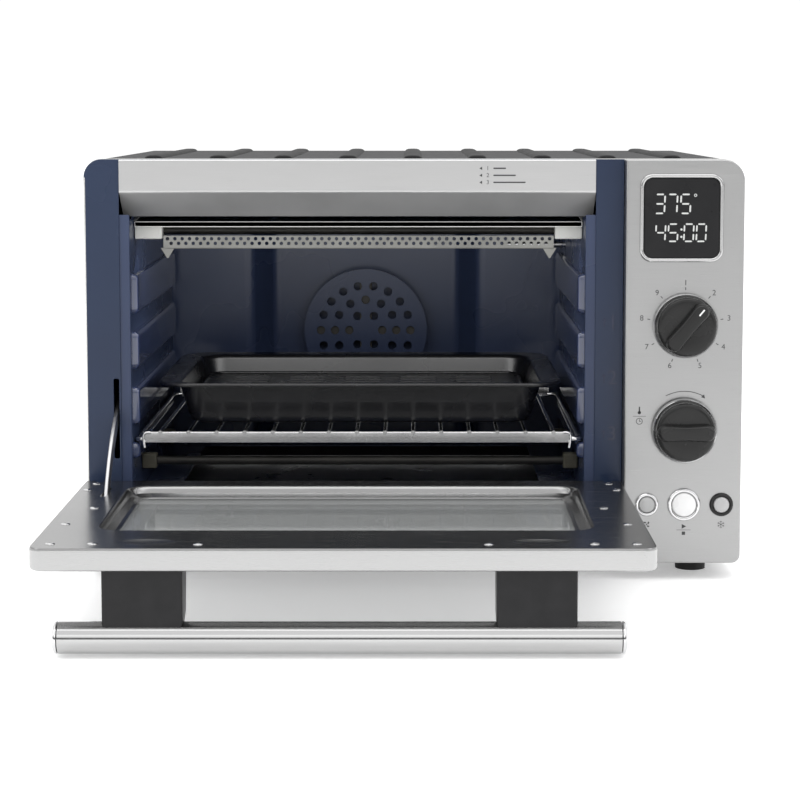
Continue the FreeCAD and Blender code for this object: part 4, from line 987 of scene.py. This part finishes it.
def knob_dial(tip, skirt, radius, level, spin):
    """A dished black disc with a raised grip across it; tip and skirt are its ends along y."""
    face, back = tip + 6.2 * MM, skirt - 3.8 * MM
    profile = [(0, face + 0.5 * MM), (radius * 0.55, face + 0.35 * MM), (radius * 0.84, face),
               (radius * 0.93, face + 0.4 * MM), (radius * 0.985, face + 1.6 * MM),
               (radius, face + 3.2 * MM), (radius, skirt - 1 * MM),
               (radius - 2.5 * MM, skirt - 1 * MM), (radius - 2.5 * MM, back), (0, back)]
    loops = []
    for inset, out in ((0, 1.6), (0, -0.6), (0.25, -2.4), (0.9, -4.6), (1.7, -5.7), (2.5, -6.2)):
        outline = grip_outline(6.4 * MM - inset * MM, 20.6 * MM - inset * MM, 0.90)
        loops.append([(KNOB_X + u * math.cos(spin) - v * math.sin(spin), face + out * MM,
                       level + u * math.sin(spin) + v * math.cos(spin)) for u, v in outline])
    return merged(lathe(profile, "y", (KNOB_X, 0, level), 96), bands(loops))


def knob_skirt(node, radius, level):
    """The polished band round a dial."""
    low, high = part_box(node)
    inner, outer = radius + 0.02 * MM, high.x - KNOB_X + 1 * MM
    front, back = low.y, high.y
    band = [(inner, back), (outer, back), (outer, back - 2.4 * MM),
            (outer - 0.25 * MM, back - 3.8 * MM), (outer - 0.8 * MM, front),
            (radius + 0.05 * MM, front + 0.3 * MM), (inner, back)]
    return lathe(band, "y", (KNOB_X, 0, level), 96)


def make_knobs():
    """Two black knobs with a polished skirt, and the selector's white tick."""
    radius = 21 * MM
    for name, level, spin in (("selector", SELECTOR_Z, SELECTOR_TURN), ("setter", SETTER_Z, 0)):
        tip = edges_of(name + "_knob", "y")[0]
        skirt = edges_of(name + "_ring", "y")[1]
        place_mesh(name + "_dial", knob_dial(tip, skirt, radius, level, spin), BLACK_PLASTIC,
                   name, (name + "_knob",), 40)
        place_mesh(name + "_skirt", knob_skirt(name + "_ring", radius, level), CHROME, name,
                   (name + "_ring",), 50)
        if name == "selector":
            tick = tick_outline((KNOB_X, level), spin, 11.5 * MM, 17.0 * MM, 0.55 * MM)
            mark = plate(tick, "y", (tip - 0.05 * MM, tip + 0.2 * MM), bevel=0.00002)
            place_mesh("selector_tick", mark, WHITE_INK, name)


def make_buttons():
    """Domed button caps in their rings; one node in the CAD holds all three rings."""
    ring_low, ring_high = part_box("button_rings")
    collar = ring_low.y + 3.9 * MM
    flange_back, stem = collar + 2.1 * MM, 2.5 * MM
    looks = {"fan_button": (BUTTON_GREY, CHROME), "start_button": (BUTTON_WHITE, CHROME),
             "frozen_button": (BUTTON_GREY, BLACK_PLASTIC)}
    for node, x in BUTTONS.items():
        front, back = edges_of(node, "y")
        radius = button_radius(node)
        cap = [(0, front), (radius * 0.5, front + 0.12 * MM), (radius * 0.85, front + 0.5 * MM),
               (radius * 0.97, front + 1.1 * MM), (radius, front + 1.8 * MM), (radius, collar),
               (radius + BUTTON_FLANGE, collar), (radius + BUTTON_FLANGE, flange_back),
               (stem, flange_back), (stem, back), (0, back)]
        place_mesh(node + "_cap", lathe(cap, "y", (x, 0, BUTTON_Z), 72), looks[node][0], node,
                   (node,), 40)
        inner, outer = radius + 0.3 * MM, radius * 1.12 + 2.2 * MM
        front, back = ring_low.y, ring_high.y
        band = [(inner, back), (outer, back), (outer, front + 1.3 * MM),
                (outer - 0.5 * MM, front + 0.4 * MM), (outer - 1.1 * MM, front),
                (inner + 0.5 * MM, front + 0.15 * MM), (inner, front + 0.8 * MM), (inner, back)]
        replaced = ("button_rings",) if node == "start_button" else ()
        place_mesh(node + "_bezel", lathe(band, "y", (x, 0, BUTTON_Z), 72), looks[node][1],
                   "chassis", replaced, 50)


# ------------------------------------------------------------------ door

HINGE_Y, HINGE_Z, ROLL = -0.0575, 0.0615, 0.0105
DOOR_IN, DOOR_SEAM, DOOR_OUT = 0.072, 0.0705, 0.0575
DOOR_LOW, DOOR_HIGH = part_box("door_shell")
DOOR_MIDDLE = (DOOR_LOW.x + DOOR_HIGH.x) / 2
DOOR_SCREWS = ((180, 238), (154, 238), (89, 239), (180.5, 175), (170, 119), (185, 50), (182, 25))


def roll_end(level, inset):
    """How far back the door's rolled hinge edge comes at a height."""
    return HINGE_Y + math.sqrt(max((ROLL - inset) ** 2 - (level - HINGE_Z) ** 2, 0))


def door_loop(inset, level):
    """The door's outline at a height, inset all round."""
    back = roll_end(level, min(inset, 1.2 * MM))
    free_corner, hinge_corner = 10 * MM - inset, 1.5 * MM
    outline = round_rect((DOOR_LOW.x + inset, DOOR_HIGH.x - inset), (DOOR_LOW.y + inset, back),
                         (free_corner, free_corner, hinge_corner, hinge_corner), 10)
    return [(x, y, level) for x, y in outline]


def window_loop(inset, corner, level):
    """The window recess in plan, inset from its upper edge, at a height."""
    half = 158 * MM
    outline = shrunk((DOOR_MIDDLE - half, DOOR_MIDDLE + half),
                     (FRONT - 194 * MM, FRONT - 34 * MM), inset, corner * MM, 10)
    return [(x, y, level) for x, y in outline]


def door_loops(*steps):
    """Door outlines from (inset in mm, height) steps."""
    return [door_loop(inset * MM, level) for inset, level in steps]


def window_loops(*steps):
    """Window outlines from (inset in mm, corner in mm, height) steps."""
    return [window_loop(inset * MM, corner, level) for inset, corner, level in steps]


def hinge_gaps():
    """Cutters for the gaps that let the fixed hinge ears into the rolled edge."""
    return [block((near - 1 * MM, HINGE_Y - 6 * MM, DOOR_OUT - 1 * MM),
                  (near + 5 * MM, HINGE_Y + 20 * MM, DOOR_IN + 1 * MM), 0.3 * MM, 2)
            for near in (DOOR_LOW.x + 8 * MM, DOOR_HIGH.x - 12 * MM)]


def arm_gap():
    """Cutter for the liner's slot round the arm's pivot."""
    low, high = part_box("door_arm")
    pivot, reach = low.y + 4.5 * MM, 17 * MM
    outline = round_rect((low.x - 0.8 * MM, high.x + 0.8 * MM), (pivot - reach, pivot + reach),
                         1.5 * MM, 6)
    return plate(outline, "z", (0.06, 0.08), bevel=0.0001)


def dimple(x, y):
    """Cutter for a shallow oval dimple in the liner."""
    bm = bmesh.new()
    bmesh.ops.create_uvsphere(bm, u_segments=48, v_segments=24, radius=1.0)
    bmesh.ops.transform(bm, verts=bm.verts, matrix=Matrix.Translation((x, y, DOOR_IN + 4.2 * MM))
                        @ Matrix.Diagonal((30 * MM, 14 * MM, 5.4 * MM, 1)))
    return mesh_of(bm)


def screw_head(x, y, level, radius):
    """A domed screw head with a cross recess."""
    head = lathe([(0, 0.85 * MM), (radius * 0.45, 0.78 * MM), (radius * 0.8, 0.55 * MM),
                  (radius * 0.97, 0.25 * MM), (radius, -0.2 * MM), (0, -0.2 * MM)],
                 "z", (0, 0, 0), 40)
    arm, slim = radius * 0.55, radius * 0.13
    cross = [block((-u, -v, 0.3 * MM), (u, v, 2 * MM), 0.05 * MM, 1)
             for u, v in ((arm, slim), (slim, arm))]
    head = carve(head, *cross)
    head.transform(Matrix.Translation((x, y, level)) @ Matrix.Rotation(x * 40, 4, "Z"))
    return head


def make_door():
    """The liner, the shell and the screws."""
    make_liner()
    make_shell()
    heads = [screw_head(DOOR_MIDDLE + side * across * MM, FRONT - forward * MM, DOOR_IN, 3.1 * MM)
             for across, forward in DOOR_SCREWS for side in (-1, 1)]
    place_mesh("door_screw_heads", heads, CHROME, "door",
               ("door_screws",), 40)


def make_liner():
    """The inner sheet with its pressed window recess, two dimples and the arm's slot."""
    liner = door_loops((0.25, 0.0706), (0.2, 0.0709), (0.3, 0.0714), (0.6, 0.0718),
                       (1.2, DOOR_IN))
    liner += window_loops((-1.2, 16, 0.07195), (0, 15.2, 0.0717), (0.9, 14.6, 0.0710),
                          (1.7, 14.0, 0.0700), (2.6, 13.6, 0.0682), (3.3, 13.2, 0.0665),
                          (3.7, 13.0, 0.0657), (4.6, 12.6, 0.0653), (9.4, 10.2, 0.0653),
                          (10, 10, 0.06525), (10.2, 10, 0.0650), (9.4, 10.4, 0.0649),
                          (8, 11, 0.0649), (0, 15, 0.0690), (-2, 16, 0.0706))
    liner += [door_loop(1.4 * MM, 0.0706), liner[0]]
    dimples = [dimple(DOOR_MIDDLE + side * 121.6 * MM, FRONT - 231 * MM) for side in (-1, 1)]
    mesh = carve(bands(liner, closed_ends=False), arm_gap(), *dimples, *hinge_gaps())
    place_mesh("door_liner", mesh, DOOR_STEEL, "door", ("door_inner_frame",), 28)


def make_shell():
    """The outer tray of the door, open round the window."""
    inner = 0.0587
    shell = door_loops((0.3, DOOR_SEAM), (0.05, 0.0702), (0, 0.0697), (0, 0.0597), (0.3, 0.0586),
                       (0.9, 0.0579), (1.9, DOOR_OUT))
    shell += window_loops((9.4, 10, DOOR_OUT), (10, 10, 0.0578), (10, 10, 0.0585),
                          (9.4, 10, inner))
    shell += door_loops((1.2, inner), (1.2, DOOR_SEAM)) + shell[:1]
    place_mesh("door_outer", carve(bands(shell, closed_ends=False), *hinge_gaps()), DOOR_EDGE,
               "door", ("door_shell",), 28)


def make_handle():
    """The polished bar with domed caps and its two black brackets."""
    low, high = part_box("handle_end_caps")
    radius, axis = (high.z - low.z) / 2, (0, (low.y + high.y) / 2, (low.z + high.z) / 2)
    start, end, edge = low.x + 2.8 * MM, high.x - 2.8 * MM, 0.5 * MM
    bar = [(0, start), (radius - edge, start), (radius, start + edge), (radius, end - edge),
           (radius - edge, end), (0, end)]
    place_mesh("handle_tube", lathe(bar, "x", axis, 96), BAR_STEEL, "door",
               ("handle_bar",), 60)
    dome = ((0, 0.0), (0.74, 0.0), (0.85, 0.1), (0.93, 0.45), (0.98, 0.95), (1, 1.7), (1, 2.3),
            (0.98, 2.5), (0.93, 2.55), (0, 2.55))
    caps = [lathe([(share * radius, end + turn * out * MM) for share, out in dome], "x", axis, 96)
            for end, turn in ((low.x, 1), (high.x, -1))]
    place_mesh("handle_caps", caps, CHROME, "door",
               ("handle_end_caps",), 45)
    make_brackets(radius, axis[1], axis[2])


def make_brackets(radius, bar_y, bar_z):
    """The two black brackets that cup the bar."""
    low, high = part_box("handle_brackets")
    grip = [(low.y, DOOR_OUT), (low.y, bar_z + 12 * MM)]
    grip += arc((bar_y, bar_z), radius + 0.15 * MM, 128, 52, 10)
    grip += [(high.y - 4 * MM, bar_z + 13 * MM), (high.y - 1 * MM, 0.042), (high.y, DOOR_OUT)]
    brackets = [plate(grip, "x", (near, near + 50 * MM), bevel=0.0016, segments=4)
                for near in (low.x, high.x - 50 * MM)]
    place_mesh("handle_mounts", brackets, BRACKET_BLACK, "door",
               ("handle_brackets",), 40)


ARM_START, ARM_SWEEP, ARM_RADIUS, ARM_HALF = 145.9, 42, 0.150, 4.5 * MM


def make_arm():
    """The bright curved strap between the door and the spring in the case."""
    low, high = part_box("door_arm")
    start, swept = math.radians(ARM_START), math.radians(ARM_SWEEP)
    pivot = (low.y + ARM_HALF, 0.065)
    centre = polar(pivot, -ARM_RADIUS, start)
    tail = polar(centre, ARM_RADIUS, start - swept)
    steps = 24
    outer, inner = ([polar(centre, reach, start - swept * k / steps) for k in range(steps + 1)]
                    for reach in (ARM_RADIUS + ARM_HALF, ARM_RADIUS - ARM_HALF))
    near = arc(pivot, ARM_HALF, ARM_START + 180, ARM_START, 12)[1:-1]
    far = arc(tail, ARM_HALF, ARM_START - ARM_SWEEP, ARM_START - ARM_SWEEP - 180, 12)[1:-1]
    outline = inner + list(reversed(far)) + list(reversed(outer)) + near
    holes = [ring(*spot, 2.6 * MM, 28) for spot in (pivot, tail)]
    strap = plate(outline, "x", (low.x, high.x), holes, 0.0006, 3)
    place_mesh("door_strap", strap, ZINC, "door_arm", ("door_arm",), 35)
    make_spring(tail)


def make_spring(tail):
    """The coil from the arm's tail to its post at the back."""
    low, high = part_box("arm_spring")
    middle, level = high.x - 2.6 * MM, tail[1]
    start, end, turns, steps, coil_radius = tail[0] + 12 * MM, high.y - 8 * MM, 34, 14, 2.0 * MM
    wire = [(low.x + 0.4 * MM, tail[0], level), (middle - 2 * MM, tail[0], level),
            (middle, tail[0] + 1 * MM, level), (middle, tail[0] + 8 * MM, level)]
    for k in range(turns * steps + 1):
        x, z = polar((middle, level), coil_radius, math.tau * k / steps)
        wire.append((x, start + (end - start) * k / turns / steps, z))
    wire += [(middle, end + 2 * MM, level), (middle, high.y, level)]
    coil = place_mesh("arm_coil", sweep(wire, 0.55 * MM, 8, smooth=True), ZINC, "chassis",
                      ("arm_spring",), 60)
    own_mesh(coil)


# ------------------------------------------------------------------ stage

def lamp(name, place, aim, size, watts):
    """A soft area light that faces a point."""
    light = bpy.data.lights.new(name, "AREA")
    light.shape, light.size, light.size_y = "RECTANGLE", *size
    light.energy = watts
    holder = bpy.data.objects.new(name, light)
    holder.location = place
    holder.rotation_euler = (Vector(aim) - Vector(place)).to_track_quat("-Z", "Y").to_euler()
    bpy.context.scene.collection.objects.link(holder)


def tone_ramp(tree, value, stops):
    """A grey level by a value, from (place, level) stops."""
    ramp = tree.nodes.new("ShaderNodeValToRGB")
    for _ in stops[2:]:
        ramp.color_ramp.elements.new(0.5)
    for element, (place, level) in zip(ramp.color_ramp.elements, stops):
        element.position, element.color = place, (level, level, level, 1)
    tree.links.new(value, ramp.inputs["Fac"])
    return ramp.outputs["Color"]


def make_sky():
    """A studio round the oven: white behind it, and in front a grey room under a bright top."""
    world = bpy.data.worlds.new("studio")
    world.use_nodes = True
    tree = world.node_tree
    place = tree.nodes.new("ShaderNodeTexCoord")
    parts = tree.nodes.new("ShaderNodeSeparateXYZ")
    tree.links.new(place.outputs["Generated"], parts.inputs["Vector"])
    room = tone_ramp(tree, parts.outputs["Z"], ((0.0, 0.45), (0.05, 0.16), (0.16, 0.20),
                                                (0.42, 0.95), (1.0, 1.0)))
    behind = tone_ramp(tree, parts.outputs["Y"], ((0.02, 0.0), (0.12, 1.0)))
    mixed = tree.nodes.new("ShaderNodeMix")
    mixed.data_type = "RGBA"
    tree.links.new(behind, mixed.inputs["Factor"])
    tree.links.new(room, mixed.inputs["A"])
    mixed.inputs["B"].default_value = (1, 1, 1, 1)
    sky = tree.nodes["Background"]
    tree.links.new(mixed.outputs["Result"], sky.inputs["Color"])
    sky.inputs["Strength"].default_value = 1.05
    bpy.context.scene.world = world
    bpy.context.scene.view_settings.view_transform = "Standard"


def make_floor():
    """A white floor."""
    mesh = bpy.data.meshes.new("floor")
    reach = 12.0
    mesh.from_pydata([(-reach, -reach, 0), (reach, -reach, 0), (reach, reach, 0),
                      (-reach, reach, 0)], [], [(0, 1, 2, 3)])
    floor = bpy.data.objects.new("floor", mesh)
    bpy.context.scene.collection.objects.link(floor)
    material, shader = new_material("floor_white")
    for title, value in (("Base Color", (0.92, 0.92, 0.92, 1)), ("Roughness", 0.7),
                         ("Specular IOR Level", 0.2), ("Emission Color", (1, 1, 1, 1)),
                         ("Emission Strength", 0.30)):
        shader.inputs[title].default_value = value
    mesh.materials.append(material)


def make_lamps():
    """Soft lights over, beside and in front of the oven, one in its mouth, and daylight."""
    middle, upright = (0, 0, 0.14), (1.0, 1.4)
    lamp("key_top", (0, -0.3, 2.0), (0, 0, 0.1), (2.2, 1.6), 15)
    lamp("side_left", (-1.8, -0.9, 1.0), middle, upright, 6)
    lamp("side_right", (1.8, -0.9, 1.0), middle, upright, 6)
    lamp("front_low", (0, -2.4, 0.9), middle, (2.4, 0.8), 5)
    lamp("mouth_fill", (-0.04, -0.01, 0.232), (-0.04, 0.14, 0.09), (0.30, 0.03), 0.16)
    daylight = bpy.data.lights.new("daylight", "SUN")
    daylight.energy, daylight.angle = 0.7, math.radians(120)
    bpy.context.scene.collection.objects.link(bpy.data.objects.new("daylight", daylight))


def make_camera():
    """The camera, a little over the oven's top and looking slightly down."""
    view = bpy.data.cameras.new("camera")
    view.sensor_width, view.lens = 36, 97.0
    view.shift_x, view.shift_y = -0.0159, -0.104
    view.clip_end = 60
    holder = bpy.data.objects.new("camera", view)
    holder.location = (0, -1.585, 0.338)
    holder.rotation_euler = (math.radians(84.47), 0, 0)
    bpy.context.scene.collection.objects.link(holder)
    bpy.context.scene.camera = holder


make_case()
finish_plain_nodes()
make_front_frame()
make_visor()
make_cavity()
make_heaters()
make_rack()
make_pan()
make_insert()
make_tray()
make_panel()
make_display()
make_knobs()
make_buttons()
make_door()
make_handle()
make_arm()
make_sky()
make_floor()
make_lamps()
make_camera()
